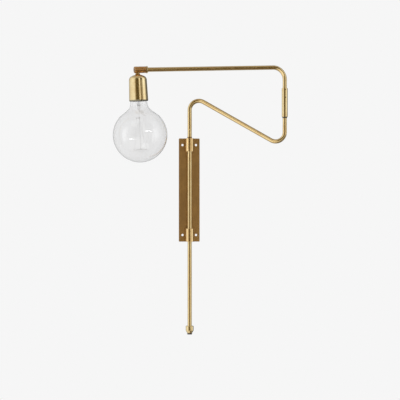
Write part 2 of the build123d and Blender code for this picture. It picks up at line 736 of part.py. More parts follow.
def glass_face(inset):
    """Half section of the bulb's glass, drawn in by an inset."""
    neck_top = -CAP_FOOT_DROP + NECK_INSERT - inset
    neck_start = -CAP_FOOT_DROP
    shoulder_end = neck_start - NECK_SHOULDER_LENGTH
    insert = NECK_INSERT_DIAMETER / 2 - inset
    neck = NECK_DIAMETER / 2 - inset
    globe = GLOBE_DIAMETER / 2 - inset
    centre = -GLOBE_CENTRE_DROP
    join_angle = radians(NECK_JOIN_ANGLE)
    join = (globe * cos(join_angle), centre + globe * sin(join_angle))
    down_the_globe = (sin(join_angle), -cos(join_angle))
    belly_angle = join_angle / 2 - pi / 4
    belly = (globe * cos(belly_angle), centre + globe * sin(belly_angle))
    neck_line = Polyline((0, neck_top), (insert, neck_top), (insert, neck_start))
    down_the_neck = (0.05, -1.0)
    shoulder = Spline((insert, neck_start), (neck, shoulder_end), tangents=((0.6, -0.8), down_the_neck))
    neck_side = Spline((neck, shoulder_end), join, tangents=(down_the_neck, down_the_globe))
    arc = ThreePointArc(join, belly, (0, centre - globe))
    axis = Line((0, centre - globe), (0, neck_top))
    return Plane.XZ * make_face(neck_line + shoulder + neck_side + arc + axis)


def make_bulb_glass():
    outer = revolve(glass_face(0), Axis.Z)
    inner = revolve(glass_face(GLASS_WALL), Axis.Z)
    mouth = Pos(0, 0, -CAP_FOOT_DROP) * Cylinder(
        NECK_INSERT_DIAMETER / 2 - GLASS_WALL, 2 * NECK_INSERT + 4 * GLASS_WALL)
    return HOLDER_FRAME * (outer - inner - mouth)


def make_glass_stem():
    top = -CAP_FOOT_DROP + NECK_INSERT
    flare = NECK_INSERT_DIAMETER / 2 - GLASS_WALL - SEAT_CLEARANCE
    press = PRESS_WIDTH / 2
    foot = top - FLARE_LENGTH
    return HOLDER_FRAME * turned(
        (flare, top),
        (flare, top - GLASS_WALL * 2),
        (press * 1.6, top - FLARE_LENGTH * 0.35),
        (press, top - FLARE_LENGTH * 0.7),
        (press, foot),
        (0, foot),
        (0, top - FLARE_LENGTH * 0.7 + GLASS_WALL),
        (press * 1.6 - GLASS_WALL, top - FLARE_LENGTH * 0.35),
        (flare - GLASS_WALL, top),
    )


def stem_foot():
    """Height of the lower end of the glass stem."""
    return -CAP_FOOT_DROP + NECK_INSERT - FLARE_LENGTH


def polar(reach, angle, height):
    """Point at a reach and angle about the holder's axis."""
    return Vector(reach * cos(radians(angle)), reach * sin(radians(angle)), height)


def make_glass_rod():
    radius = ROD_DIAMETER / 2
    button = BUTTON_DIAMETER / 2
    upper = -UPPER_SUPPORT_DROP
    return HOLDER_FRAME * turned(
        (0, stem_foot()),
        (radius, stem_foot()),
        (radius, upper + button),
        (button, upper + radius),
        (button, upper - radius),
        (radius, upper - button),
        (radius, -ROD_END_DROP + button),
        (button, -ROD_END_DROP + radius),
        (button, -ROD_END_DROP - radius),
        (0, -ROD_END_DROP - button),
    )


def support_wires():
    """Start and end of each support wire, from the glass rod's buttons outwards."""
    start = BUTTON_DIAMETER / 2 + SEAT_CLEARANCE
    wires = []
    for reach, drop, angles in (
        (LOWER_SUPPORT_REACH, ROD_END_DROP, LOWER_SUPPORT_ANGLES),
        (UPPER_SUPPORT_REACH, UPPER_SUPPORT_DROP, UPPER_SUPPORT_ANGLES),
    ):
        wires += [(polar(start, angle, -drop), polar(reach, angle, -drop)) for angle in angles]
    return wires


def make_support_wires():
    wires = [rod_between(start, end, SUPPORT_WIRE_DIAMETER / 2) for start, end in support_wires()]
    return HOLDER_FRAME * Compound(wires)


def make_lead_wires():
    start = stem_foot() - SUPPORT_WIRE_DIAMETER
    wires = []
    for angle in LEAD_ANGLES:
        top = polar(PRESS_WIDTH / 3, angle, start)
        wires.append(rod_between(top, polar(LEAD_REACH, angle, -LEAD_END_DROP), SUPPORT_WIRE_DIAMETER / 2))
    return HOLDER_FRAME * Compound(wires)


def make_filament():
    radius = FILAMENT_DIAMETER / 2
    hang = SUPPORT_WIRE_DIAMETER / 2 + radius + SEAT_CLEARANCE
    low = [polar(LOWER_SUPPORT_REACH - radius, angle, -ROD_END_DROP + hang) for angle in LOWER_SUPPORT_ANGLES]
    high = [polar(UPPER_SUPPORT_REACH - radius, angle, -UPPER_SUPPORT_DROP - hang) for angle in UPPER_SUPPORT_ANGLES]
    ends = [polar(LEAD_REACH, angle, -LEAD_END_DROP - hang) for angle in LEAD_ANGLES]
    corners = [ends[1], low[0], high[0], low[1], high[1], low[2], ends[0]]
    strand = rod_between(corners[0], corners[1], radius)
    for start, end in zip(corners[1:], corners[2:]):
        strand += rod_between(start, end, radius)
        strand += Pos(start) * Sphere(radius)
    return HOLDER_FRAME * strand


PIECES = {
    "wall_plate": make_wall_plate,
    "back_screws": make_back_screws,
    "upper_bushing": lambda: make_bushing(UPPER_BUSHING_Z),
    "lower_bushing": lambda: make_bushing(LOWER_BUSHING_Z),
    "upper_liner": make_upper_liner,
    "upper_bush": make_upper_bush,
    "lower_liner": make_lower_liner,
    "lower_arm_tube": make_lower_arm_tube,
    "rod_snap_ring": make_rod_snap_ring,
    "gland_body": make_gland_body,
    "gland_grub_screw": make_gland_grub_screw,
    "gland_bush": make_gland_bush,
    "elbow_sleeve": make_elbow_sleeve,
    "elbow_grub_screws": make_elbow_grub_screws,
    "elbow_liner": make_elbow_liner,
    "elbow_thrust_disc": make_elbow_thrust_disc,
    "upper_arm_tube": make_upper_arm_tube,
    "arm_snap_ring": make_arm_snap_ring,
    "friction_washer": make_friction_washer,
    "arm_collar": make_arm_collar,
    "swivel_barrel": make_swivel_barrel,
    "barrel_cap": make_barrel_cap,
    "stem_nipple": make_stem_nipple,
    "stem_collar": make_stem_collar,
    "holder_cup": make_holder_cup,
    "cup_nut": make_cup_nut,
    "lampholder_body": make_lampholder_body,
    "screw_shell": make_screw_shell,
    "centre_contact": make_centre_contact,
    "terminal_screws": make_terminal_screws,
    "bulb_contact": make_bulb_contact,
    "bulb_insulator": make_bulb_insulator,
    "bulb_cap": make_bulb_cap,
    "bulb_glass": make_bulb_glass,
    "glass_stem": make_glass_stem,
    "glass_rod": make_glass_rod,
    "support_wires": make_support_wires,
    "lead_wires": make_lead_wires,
    "filament": make_filament,
}


def main():
    os.makedirs("parts", exist_ok=True)
    for name, make in PIECES.items():
        export_step(make(), f"parts/{name}.step")


if __name__ == "__main__":
    main()
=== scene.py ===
"""Swing arm wall lamp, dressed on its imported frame: finishes, fine pieces, studio and camera."""

import logging
import math
from dataclasses import dataclass, field, replace
from enum import Enum
from functools import reduce

import bmesh
import bpy
import numpy as np
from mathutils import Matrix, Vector


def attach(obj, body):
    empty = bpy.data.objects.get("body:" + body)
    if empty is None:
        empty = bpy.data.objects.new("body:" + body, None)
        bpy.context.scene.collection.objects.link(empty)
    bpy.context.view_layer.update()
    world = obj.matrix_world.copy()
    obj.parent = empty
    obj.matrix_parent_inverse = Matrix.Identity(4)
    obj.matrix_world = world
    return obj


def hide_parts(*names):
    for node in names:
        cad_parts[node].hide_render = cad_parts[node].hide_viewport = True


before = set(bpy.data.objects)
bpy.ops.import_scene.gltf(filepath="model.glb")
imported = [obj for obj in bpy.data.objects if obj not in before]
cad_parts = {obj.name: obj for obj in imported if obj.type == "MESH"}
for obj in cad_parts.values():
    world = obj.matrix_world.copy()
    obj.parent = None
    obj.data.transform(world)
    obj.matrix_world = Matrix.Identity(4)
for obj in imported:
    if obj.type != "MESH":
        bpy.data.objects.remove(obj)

Array = np.ndarray
Colour = Triple = tuple[float, float, float]
Material = bpy.types.Material
Object = bpy.types.Object
Socket = bpy.types.NodeSocket

MM = 0.001
METRE = 1000.0
MICROMETRE = 1e-6
ROD_Y = -11.75
QUARTER = math.pi / 2
UP, BACK = np.array([0.0, 0.0, 1.0]), np.array([0.0, 1.0, 0.0])
WELD = 1e-7
CRISP, SOFT, COILED = 32.0, 60.0, 80.0
THREAD_PITCH = 3.62
log = logging.getLogger("wall_lamp")


# Places and surfaces

@dataclass(frozen=True)
class Place:
    """A frame on the lamp.

    Args:
        origin: where it stands, in millimetres of the row frame.
        turn: its turn about X, then Y, then Z, in degrees.
    """

    origin: Triple = (0.0, 0.0, 0.0)
    turn: Triple = (0.0, 0.0, 0.0)

    def matrix(self) -> Array:
        """Returns the 3 by 3 rotation Rz * Ry * Rx."""
        turned = np.eye(3)
        for axis, angle in enumerate(np.radians(self.turn)):
            a, b = (axis + 1) % 3, (axis + 2) % 3
            step, c, s = np.eye(3), math.cos(angle), math.sin(angle)
            step[[a, a, b, b], [a, b, a, b]] = c, -s, s, c
            turned = step @ turned
        return turned

    def to_row(self, points: Array) -> Array:
        """Points of this frame in millimetres as points of the row frame in metres."""
        return (points @ self.matrix().T + np.array(self.origin)) * MM


@dataclass
class Surface:
    """A closed surface on a grid: rows follow a profile or a path, and columns close round.

    Args:
        points: rows by columns by 3, in millimetres of the piece's own frame.
        ring: the last row joins the first, as on a tube with a bore.
        straightened: the same grid on the straightened piece, for patterns that follow it.
    """

    points: Array
    ring: bool = False
    straightened: Array | None = None

    def faces(self) -> Array:
        """Returns quads: face (i, j) lies between rows i, i + 1 and columns j, j + 1."""
        rows, columns = self.points.shape[:2]
        i, j = np.indices((rows if self.ring else rows - 1, columns))
        after, beside = (i + 1) % rows * columns, (j + 1) % columns
        i = i * columns
        return np.stack((i + j, i + beside, after + beside, after + j), axis=-1).reshape(-1, 4)


def in_scene(name: str, data: bpy.types.ID) -> Object:
    """Returns a new object with the data, linked to the scene."""
    made = bpy.data.objects.new(name, data)
    bpy.context.scene.collection.objects.link(made)
    return made


def shaped(
        name: str, surfaces: list[Surface], place: Place = Place(), crease: float = CRISP
) -> Object:
    """Makes one object of closed surfaces, with its place in its mesh.

    Args:
        name: the piece's name.
        surfaces: what it is made of, in millimetres of the place.
        place: where it stands.
        crease: edges that turn by more degrees than this stay crisp.

    Returns:
        The object, at the origin, unturned and unscaled.
    """
    vertices = [s.points.reshape(-1, 3) for s in surfaces]
    starts = np.cumsum([0] + [len(v) for v in vertices[:-1]])
    faces = np.concatenate([s.faces() + start for s, start in zip(surfaces, starts)])
    mesh = bpy.data.meshes.new(name)
    mesh.from_pydata(place.to_row(np.concatenate(vertices)).tolist(), [], faces.tolist())
    if all(s.straightened is not None for s in surfaces):
        flat = np.concatenate([s.straightened.reshape(-1, 3) for s in surfaces]) * MM
        layer = mesh.attributes.new("straightened", "FLOAT_VECTOR", "POINT")
        layer.data.foreach_set("vector", flat.astype(np.float32).ravel())
    work = bmesh.new()
    work.from_mesh(mesh)
    bmesh.ops.remove_doubles(work, verts=work.verts, dist=WELD)
    bmesh.ops.recalc_face_normals(work, faces=work.faces)
    work.to_mesh(mesh)
    work.free()
    mesh.shade_smooth()
    mesh.set_sharp_from_angle(angle=math.radians(crease))
    return in_scene(name, mesh)


def turns(count: int) -> Array:
    """Angles of evenly spaced columns round a whole turn, in radians."""
    return np.arange(count) * (2 * math.pi / count)


def outward(angle: float) -> Array:
    """The level unit vector at an angle in degrees from +X."""
    turn = math.radians(angle)
    return np.array([math.cos(turn), math.sin(turn), 0.0])


def eased(value: Array, low: float, high: float) -> Array:
    """Smooth step t * t * (3 - 2 t), with t the share of the way from low to high."""
    t = np.clip((value - low) / (high - low), 0.0, 1.0)
    return t * t * (3 - 2 * t)


def unit(vectors: Array) -> Array:
    """Vectors along the last axis, each divided by its length."""
    return vectors / np.linalg.norm(vectors, axis=-1, keepdims=True)


def lathed(radius: Array, height: Array, sides: int, flat: Array | None = None) -> Array:
    """Grid of a turned shape: (r cos a, k r sin a, z).

    Args:
        radius: one radius a row, or rows by sides.
        height: one height a row.
        sides: how many columns.
        flat: a factor k for each row that narrows the section along Y.

    Returns:
        Rows by sides by 3 points in millimetres.
    """
    angle = turns(sides)
    radius = radius.reshape(len(radius), -1)
    narrow = 1.0 if flat is None else flat[:, None]
    level = np.broadcast_to(height[:, None], (len(height), sides))
    return np.stack((radius * np.cos(angle), narrow * radius * np.sin(angle), level), axis=-1)


def carried(centre: Array, along: Array, side: Array, radius: Array, sides: int) -> Array:
    """Grid of a round section carried along a path: c + r (cos a * side x along + sin a * side).

    Args:
        centre: rows by 3 points of the path.
        along: rows by 3 unit directions of the path.
        side: the unit vector square to the path, one for all rows or one for each.
        radius: one radius a row.
        sides: how many columns.

    Returns:
        Rows by sides by 3 points.
    """
    side = np.broadcast_to(side, centre.shape)
    across = np.cross(side, along)
    angle = turns(sides)[None, :, None]
    ring = np.cos(angle) * across[:, None, :] + np.sin(angle) * side[:, None, :]
    return centre[:, None, :] + radius[:, None, None] * ring


class BentPath:
    """Straight runs joined by tangent arcs of one radius, read at any length along it.

    At a corner between unit directions a and b that turns by t, the arc starts
    radius * tan(t / 2) before the corner, and its point after an angle s is
    start + radius * (sin s * a + (1 - cos s) * n), where n is the unit part of b square to a.
    """

    def __init__(self, corners: Array, radius: float) -> None:
        """Args:
            corners: count by 3 points, in millimetres.
            radius: the arcs' radius.
        """
        runs = np.diff(corners, axis=0)
        a = unit(runs)
        cosine = np.sum(a[:-1] * a[1:], axis=1)
        turn = np.arccos(np.clip(cosine, -1.0, 1.0))
        cut = np.concatenate(([0.0], radius * np.tan(turn / 2), [0.0]))
        count = 2 * len(runs) - 1
        self.lengths, self.bend = np.zeros((2, count))
        self.origins, self.along, self.inward = np.zeros((3, count, 3))
        self.lengths[0::2] = np.linalg.norm(runs, axis=1) - cut[:-1] - cut[1:]
        self.lengths[1::2] = radius * turn
        self.origins[0::2] = corners[:-1] + a * cut[:-1, None]
        self.origins[1::2] = corners[1:-1] - a[:-1] * cut[1:-1, None]
        self.along[0::2], self.along[1::2] = a, a[:-1]
        self.inward[1::2] = unit(a[1:] - cosine[:, None] * a[:-1])
        self.bend[1::2] = 1.0 / radius
        self.starts = np.concatenate(([0.0], np.cumsum(self.lengths)[:-1]))
        self.length = float(self.lengths.sum())

    def at(self, s: Array) -> tuple[Array, Array]:
        """Reads the path.

        Args:
            s: lengths along it, in millimetres.

        Returns:
            Points and unit directions, each count by 3.
        """
        k = np.clip(np.searchsorted(self.starts, s, side="right") - 1, 0, len(self.starts) - 1)
        local, bend = s - self.starts[k], self.bend[k]
        angle = (local * bend)[:, None]
        curved = bend > 0
        safe = np.where(curved, bend, 1.0)
        ahead = np.where(curved, np.sin(local * bend) / safe, local)[:, None]
        aside = np.where(curved, (1 - np.cos(local * bend)) / safe, 0.0)[:, None]
        points = self.origins[k] + ahead * self.along[k] + aside * self.inward[k]
        return points, np.cos(angle) * self.along[k] + np.sin(angle) * self.inward[k]

    def stations(self, run_step: float, arc_step: float) -> Array:
        """Lengths to read, evenly spaced on each run and arc.

        Args:
            run_step: the longest step on a straight run.
            arc_step: the longest step on an arc.

        Returns:
            Rising lengths from 0 to the path's whole length.
        """
        steps = np.where(self.bend > 0, arc_step, run_step)
        parts = [
            start + np.linspace(0.0, length, max(2, math.ceil(length / step) + 1))[:-1]
            for start, length, step in zip(self.starts, self.lengths, steps)
        ]
        return np.concatenate((*parts, [self.length]))


# Shader graphs and the effects that several finishes share

class Graph:
    """A node tree with short calls for what the finishes use."""

    def __init__(self, tree: bpy.types.NodeTree) -> None:
        """Takes the tree to fill."""
        self.tree = tree

    def add(self, kind: str, inputs: dict | None = None, **settings: object) -> bpy.types.Node:
        """Adds a shader node.

        Args:
            kind: its type without the ShaderNode prefix.
            inputs: sockets or plain values for its inputs, by name or number.
            settings: the node's own options.

        Returns:
            The node.
        """
        node = self.tree.nodes.new("ShaderNode" + kind)
        for key, value in settings.items():
            setattr(node, key, value)
        for key, value in (inputs or {}).items():
            self.feed(node.inputs[key], value)
        return node

    def feed(self, target: Socket, value: object) -> None:
        """Links a socket to an input, or sets the input's own value."""
        if isinstance(value, Socket):
            self.tree.links.new(value, target)
        elif target.type == "RGBA" and len(value) == 3:
            target.default_value = (*value, 1.0)
        else:
            target.default_value = value

    def math(self, operation: str, *values: object) -> Socket:
        """One Math operation over two or more values, from left to right."""
        return reduce(
            lambda a, b: self.add("Math", {0: a, 1: b}, operation=operation).outputs[0], values)

    def product(self, *values: object) -> Socket:
        """The product of two or more values."""
        return self.math("MULTIPLY", *values)

    def weighted(self, base: float, *terms: tuple[Socket, float]) -> Socket:
        """A base plus values times their weights."""
        return reduce(lambda total, term: self.add(
            "Math", {0: term[0], 1: term[1], 2: total}, operation="MULTIPLY_ADD").outputs[0],
            terms, base)

    def spread(
            self, value: Socket, low: float, high: float, to_low: float = 0.0, to_high: float = 1.0
    ) -> Socket:
        """Eases a value from one span to another, held at both ends.

        Args:
            value: what is read.
            low: where the result is to_low.
            high: where the result is to_high.
            to_low: the result at and below low.
            to_high: the result at and above high.

        Returns:
            The eased value.
        """
        inputs = {0: value, 1: low, 2: high, 3: to_low, 4: to_high}
        return self.add("MapRange", inputs, interpolation_type="SMOOTHSTEP").outputs[0]

    def blend(self, share: object, first: object, second: object, mode: str = "MIX") -> Socket:
        """Mixes two colours.

        Args:
            share: how much of the second shows.
            first: a colour or socket.
            second: a colour or socket.
            mode: the mix node's blend type.

        Returns:
            The mixed colour.
        """
        inputs = {0: share, 6: first, 7: second}
        return self.add("Mix", inputs, data_type="RGBA", blend_type=mode).outputs[2]

    def noise(
            self, vector: Socket, scale: object, detail: float = 3.0, rough: float = 0.55,
            bent: float = 0.0
    ) -> Socket:
        """Noise value between 0 and 1.

        Args:
            vector: the coordinates, in metres.
            scale: repeats a metre.
            detail: how many finer layers it has.
            rough: how strong they are.
            bent: how far its own noise bends it.

        Returns:
            The value.
        """
        inputs = {"Vector": vector, "Scale": scale, "Detail": detail, "Roughness": rough,
                  "Distortion": bent}
        return self.add("TexNoise", inputs, noise_dimensions="3D").outputs[0]

    def bump(self, height: Socket, depth: float) -> Socket:
        """The normal on a relief whose height runs from 0 to 1 over a depth in micrometres."""
        inputs = {"Height": height, "Distance": depth * MICROMETRE, "Strength": 1.0}
        return self.add("Bump", inputs).outputs[0]

    def mixed(self, share: Socket, shader: Socket, see_through: float) -> Socket:
        """A shader that gives way to clear air of some brightness by a share."""
        clear = self.add("BsdfTransparent", {"Color": (see_through,) * 3}).outputs[0]
        return self.add("MixShader", {0: share, 1: shader, 2: clear}).outputs[0]

    def ray(self, kind: str) -> Socket:
        """1 for rays of a kind that the Light Path node names, and 0 for others."""
        return self.add("LightPath").outputs[kind]


class Effect(Enum):
    """Effects that finishes share: the node group's name, then its inputs after Vector."""

    WORN_EDGES = ("worn_edges", "Width", "Amount")
    TARNISH = ("tarnish", "Scale", "Cover")
    WORKED_LINES = ("worked_lines", "Scale")
    HANDLING = ("handling_marks", "Scale")
    HAIRLINES = ("hairline_scratches", "Scale", "Amount")
    DUST = ("settled_dust", "Amount")


class EffectShelf:
    """Builds each effect's node group when it is first asked for, and places it."""

    def __init__(self) -> None:
        """Starts with no group built."""
        self.groups: dict[Effect, bpy.types.NodeTree] = {}

    def place(self, graph: Graph, effect: Effect, vector: Socket, *values: object) -> Socket:
        """Places an effect in a material.

        Args:
            graph: the material's graph.
            effect: which effect.
            vector: the coordinates that it reads, in metres.
            values: sockets or values for its other inputs, in their order.

        Returns:
            The group's only output, a mask or value between 0 and 1.
        """
        if effect not in self.groups:
            self.groups[effect] = self.build(effect)
        inputs = dict(enumerate((vector, *values)))
        return graph.add("Group", inputs, node_tree=self.groups[effect]).outputs[0]

    def build(self, effect: Effect) -> bpy.types.NodeTree:
        """Builds an effect's node group from the method of its name."""
        name, *keys = effect.value
        keys.insert(0, "Vector")
        tree = bpy.data.node_groups.new(name, "ShaderNodeTree")
        for key in (*keys, "Value"):
            way = "INPUT" if key in keys else "OUTPUT"
            kind = "NodeSocketVector" if key == "Vector" else "NodeSocketFloat"
            tree.interface.new_socket(name=key, in_out=way, socket_type=kind)
        given = tree.nodes.new("NodeGroupInput").outputs
        result = getattr(self, name)(Graph(tree), *(given[key] for key in keys))
        tree.links.new(result, tree.nodes.new("NodeGroupOutput").inputs[0])
        return tree

    @staticmethod
    def worn_edges(graph: Graph, vector: Socket, width: Socket, amount: Socket) -> Socket:
        """Convex edges: one less the dot product of normal and rounded normal, times noise."""
        rounded = graph.add("Bevel", {"Radius": width}, samples=4).outputs[0]
        normal = graph.add("NewGeometry").outputs["Normal"]
        dot = graph.add("VectorMath", {0: rounded, 1: normal}, operation="DOT_PRODUCT")
        edge = graph.spread(graph.math("SUBTRACT", 1.0, dot.outputs["Value"]), 0.01, 0.14)
        broken = graph.spread(graph.noise(vector, 420.0, 4.0, 0.7), 0.36, 0.62)
        return graph.product(edge, broken, amount)

    @staticmethod
    def tarnish(graph: Graph, vector: Socket, scale: Socket, cover: Socket) -> Socket:
        """Dulled patches: two sizes of noise, two parts to one, cut to cover about a share."""
        large = graph.noise(vector, scale, 2.0)
        small = graph.noise(vector, graph.product(scale, 4.3), 4.0, 0.65)
        return graph.spread(
            graph.weighted(0.0, (large, 0.66), (small, 0.34), (cover, 0.5)), 0.52, 0.92)

    @staticmethod
    def worked_lines(graph: Graph, vector: Socket, scale: Socket) -> Socket:
        """Lines left by the tool: noise on coordinates already drawn out along them."""
        fine = graph.noise(vector, scale, 2.0, 0.6)
        broad = graph.noise(vector, graph.product(scale, 0.22), 2.0)
        return graph.weighted(0.0, (fine, 0.6), (broad, 0.4))

    @staticmethod
    def handling_marks(graph: Graph, vector: Socket, scale: Socket) -> Socket:
        """Smudges from fingers and cloths: noise bent by a second noise."""
        return graph.spread(graph.noise(vector, scale, 3.0, 0.5, 1.4), 0.32, 0.7)

    @staticmethod
    def hairline_scratches(graph: Graph, vector: Socket, scale: Socket, amount: Socket) -> Socket:
        """Fine scratches: thin level lines of two drawn-out noises that cross, in places."""
        found = []
        for turn in ((0.3, 0.9, 0.25), (-0.5, -0.4, 1.9)):
            drawn = graph.add(
                "Mapping", {"Vector": vector, "Rotation": turn, "Scale": (1.0, 0.012, 1.0)})
            level = graph.math("SUBTRACT", graph.noise(drawn.outputs[0], scale, 0.0), 0.5)
            off_line = graph.math("ABSOLUTE", level, 0.0)
            found.append(graph.spread(off_line, 0.002, 0.012, 1.0, 0.0))
        shown = graph.spread(graph.noise(vector, graph.product(scale, 0.12), 2.0), 0.54, 0.66)
        return graph.product(graph.math("MAXIMUM", *found), shown, amount)

    @staticmethod
    def settled_dust(graph: Graph, vector: Socket, amount: Socket) -> Socket:
        """Dust on what faces up: the normal's Z from 0.45 to 1, thinned by noise."""
        up = graph.add("SeparateXYZ", {0: graph.add("NewGeometry").outputs["Normal"]}).outputs[2]
        specks = graph.spread(graph.noise(vector, 900.0, 5.0, 0.75), 0.35, 0.7)
        return graph.product(graph.spread(up, 0.45, 1.0), specks, amount)


SHELF = EffectShelf()


# Finishes

@dataclass(frozen=True)
class Pattern:
    """How a finish lies on a piece.

    Args:
        label: goes into the material's name.
        place: the frame that the pattern is square to.
        lines: how fast worked lines change along X, Y and Z of that frame: 1 across them and
            near 0 along them.
        straightened: the pattern follows the straightened piece.
    """

    label: str
    place: Place = Place()
    lines: Triple = (0.02, 0.02, 1.0)
    straightened: bool = False

    def coordinates(self, graph: Graph) -> Socket:
        """Returns the pattern's own coordinates, in metres."""
        if self.straightened:
            return graph.add("Attribute", attribute_name="straightened").outputs["Vector"]
        inputs = {
            "Vector": graph.add("TexCoord").outputs["Object"],
            "Location": tuple(value * MM for value in self.place.origin),
            "Rotation": tuple(math.radians(angle) for angle in self.place.turn)}
        return graph.add("Mapping", inputs, vector_type="TEXTURE").outputs[0]


@dataclass(frozen=True)
class Finish:
    """What every finish does: it makes one material for a pattern.

    Args:
        name: the first part of the material's name.
    """

    name: str

    def make(self, pattern: Pattern) -> Material:
        """Builds the material.

        Args:
            pattern: how it lies on the piece.

        Returns:
            The material.
        """
        material = bpy.data.materials.new(f"{self.name}_{pattern.label}")
        material.use_nodes = True
        material.node_tree.nodes.clear()
        graph = Graph(material.node_tree)
        inputs = self.sockets(graph, pattern.coordinates(graph), pattern.lines)
        shader = graph.add("BsdfPrincipled", inputs).outputs[0]
        graph.add("OutputMaterial", {"Surface": self.surface(graph, shader)})
        return material

    def sockets(self, graph: Graph, where: Socket, drawn: Triple) -> dict[str, object]:
        """What the shader gets.

        Args:
            graph: the material's graph.
            where: the pattern's coordinates, in metres.
            drawn: how fast worked lines change along X, Y and Z.

        Returns:
            Sockets and constants by the names of the shader's inputs.
        """
        raise NotImplementedError

    def surface(self, graph: Graph, shader: Socket) -> Socket:
        """What reaches the material's output: here the shader as it is."""
        return shader


@dataclass(frozen=True)
class Metal(Finish):
    """A worked metal: dulled patches, tool lines, hairlines, smudges, bare edges and painted shade.

    Args:
        polished: the tone of clean metal.
        dulled: the tone under tarnish.
        bare: the tone on worn edges.
        roughness: the mean roughness.
        cover: how much of it is dulled.
        patch: the size of dulled patches, in millimetres.
        line_gap: the distance between tool lines, in millimetres.
        line_depth: the height of the lines, in micrometres.
        edge: how wide its worn edges are, in millimetres.
        worn: how bare they are.
        hairlines: how strong its fine scratches are.
        dust: how much dust it holds on top.
        lacquer: the weight of a clear coat.
        metallic: 1 for bare metal, less where an oxide skin covers it.
        painted_shade_span: the levels in millimetres over which it turns to painted shade, or none.
        painted_shade: the tone of the painted shade past the second level.
        grime: the tone of settled dust.
    """

    polished: Colour
    dulled: Colour
    bare: Colour
    roughness: float = 0.13
    cover: float = 0.4
    patch: float = 30.0
    line_gap: float = 0.35
    line_depth: float = 0.6
    edge: float = 0.35
    worn: float = 0.5
    hairlines: float = 0.4
    dust: float = 0.12
    lacquer: float = 0.0
    metallic: float = 1.0
    # painted shade: where a span is given, the tone turns dark below it, standing in for shade
    painted_shade_span: tuple[float, float] | None = None
    painted_shade: Colour = (0.30, 0.27, 0.19)
    grime: Colour = (0.52, 0.49, 0.44)

    def sockets(self, graph: Graph, where: Socket, drawn: Triple) -> dict[str, object]:
        """Tone, roughness and relief from what happened to the metal, plus any painted shade.

        Args:
            graph: the material's graph.
            where: the pattern's coordinates, in metres.
            drawn: how fast worked lines change along X, Y and Z.

        Returns:
            Sockets and constants by the names of the shader's inputs.
        """
        lined = graph.add("Mapping", {"Vector": where, "Scale": drawn}).outputs[0]
        lines = SHELF.place(graph, Effect.WORKED_LINES, lined, METRE / self.line_gap)
        dull = SHELF.place(graph, Effect.TARNISH, where, METRE / self.patch, self.cover)
        worn = SHELF.place(graph, Effect.WORN_EDGES, where, self.edge * MM, self.worn)
        smudge = SHELF.place(graph, Effect.HANDLING, where, METRE / (self.patch * 0.6))
        hairs = SHELF.place(graph, Effect.HAIRLINES, where, 700.0, self.hairlines)
        dust = SHELF.place(graph, Effect.DUST, where, self.dust)
        light = graph.spread(lines, 0.3, 0.7, 0.93, 1.04)
        grey = graph.add("CombineColor", {0: light, 1: light, 2: light}).outputs[0]
        tone = graph.blend(1.0, graph.blend(dull, self.polished, self.dulled), grey, "MULTIPLY")
        bared = graph.math("MAXIMUM", worn, graph.product(hairs, 0.5))
        tone = graph.blend(bared, tone, self.bare)
        # painted shade: below the given levels the tone eases to a dark tone that stands in for
        # shade
        if self.painted_shade_span:
            level = graph.add("SeparateXYZ", {0: where}).outputs[2]
            painted_shade_band = graph.spread(level, *(value * MM for value in self.painted_shade_span))
            tone = graph.blend(painted_shade_band, tone, self.painted_shade)
        relief = graph.math("SUBTRACT", lines, graph.product(hairs, 0.7))
        return {
            "Base Color": graph.blend(dust, tone, self.grime),
            "Roughness": graph.weighted(
                self.roughness - 0.04, (dull, 0.05), (smudge, 0.05), (lines, 0.04), (dust, 0.5)),
            "Normal": graph.bump(relief, self.line_depth),
            "Metallic": self.metallic, "Coat Weight": self.lacquer, "Coat Roughness": 0.16}


@dataclass(frozen=True)
class Moulded(Finish):
    """A moulded plastic, rubber, ceramic or carbon piece: fine skin, clouds and scuffed edges.

    Args:
        body: its main tone.
        cloud: the tone that clouds it.
        scuffed: the tone on rubbed edges.
        roughness: the mean roughness.
        grain: the size of the skin's texture, in millimetres.
        grain_depth: its height, in micrometres.
        edge: how wide its rubbed edges are, in millimetres.
        worn: how pale they are.
        glaze: the weight of a glossy coat.
        dust: how much dust it holds on top.
        grime: the tone of the dust.
    """

    body: Colour
    cloud: Colour
    scuffed: Colour
    roughness: float = 0.5
    grain: float = 0.4
    grain_depth: float = 12.0
    edge: float = 0.3
    worn: float = 0.6
    glaze: float = 0.0
    dust: float = 0.3
    grime: Colour = (0.45, 0.43, 0.40)

    def sockets(self, graph: Graph, where: Socket, drawn: Triple) -> dict[str, object]:
        """Tone, roughness and relief, with no worked lines."""
        clouds = SHELF.place(graph, Effect.TARNISH, where, 90.0, 0.45)
        worn = SHELF.place(graph, Effect.WORN_EDGES, where, self.edge * MM, self.worn)
        smudge = SHELF.place(graph, Effect.HANDLING, where, 110.0)
        dust = SHELF.place(graph, Effect.DUST, where, self.dust)
        skin = graph.noise(where, METRE / self.grain, 4.0, 0.6)
        tone = graph.blend(worn, graph.blend(clouds, self.body, self.cloud), self.scuffed)
        return {
            "Base Color": graph.blend(dust, tone, self.grime),
            "Roughness": graph.weighted(self.roughness - 0.04, (smudge, 0.08), (skin, 0.04)),
            "Normal": graph.bump(skin, self.grain_depth),
            "Coat Weight": self.glaze, "Coat Roughness": 0.06}


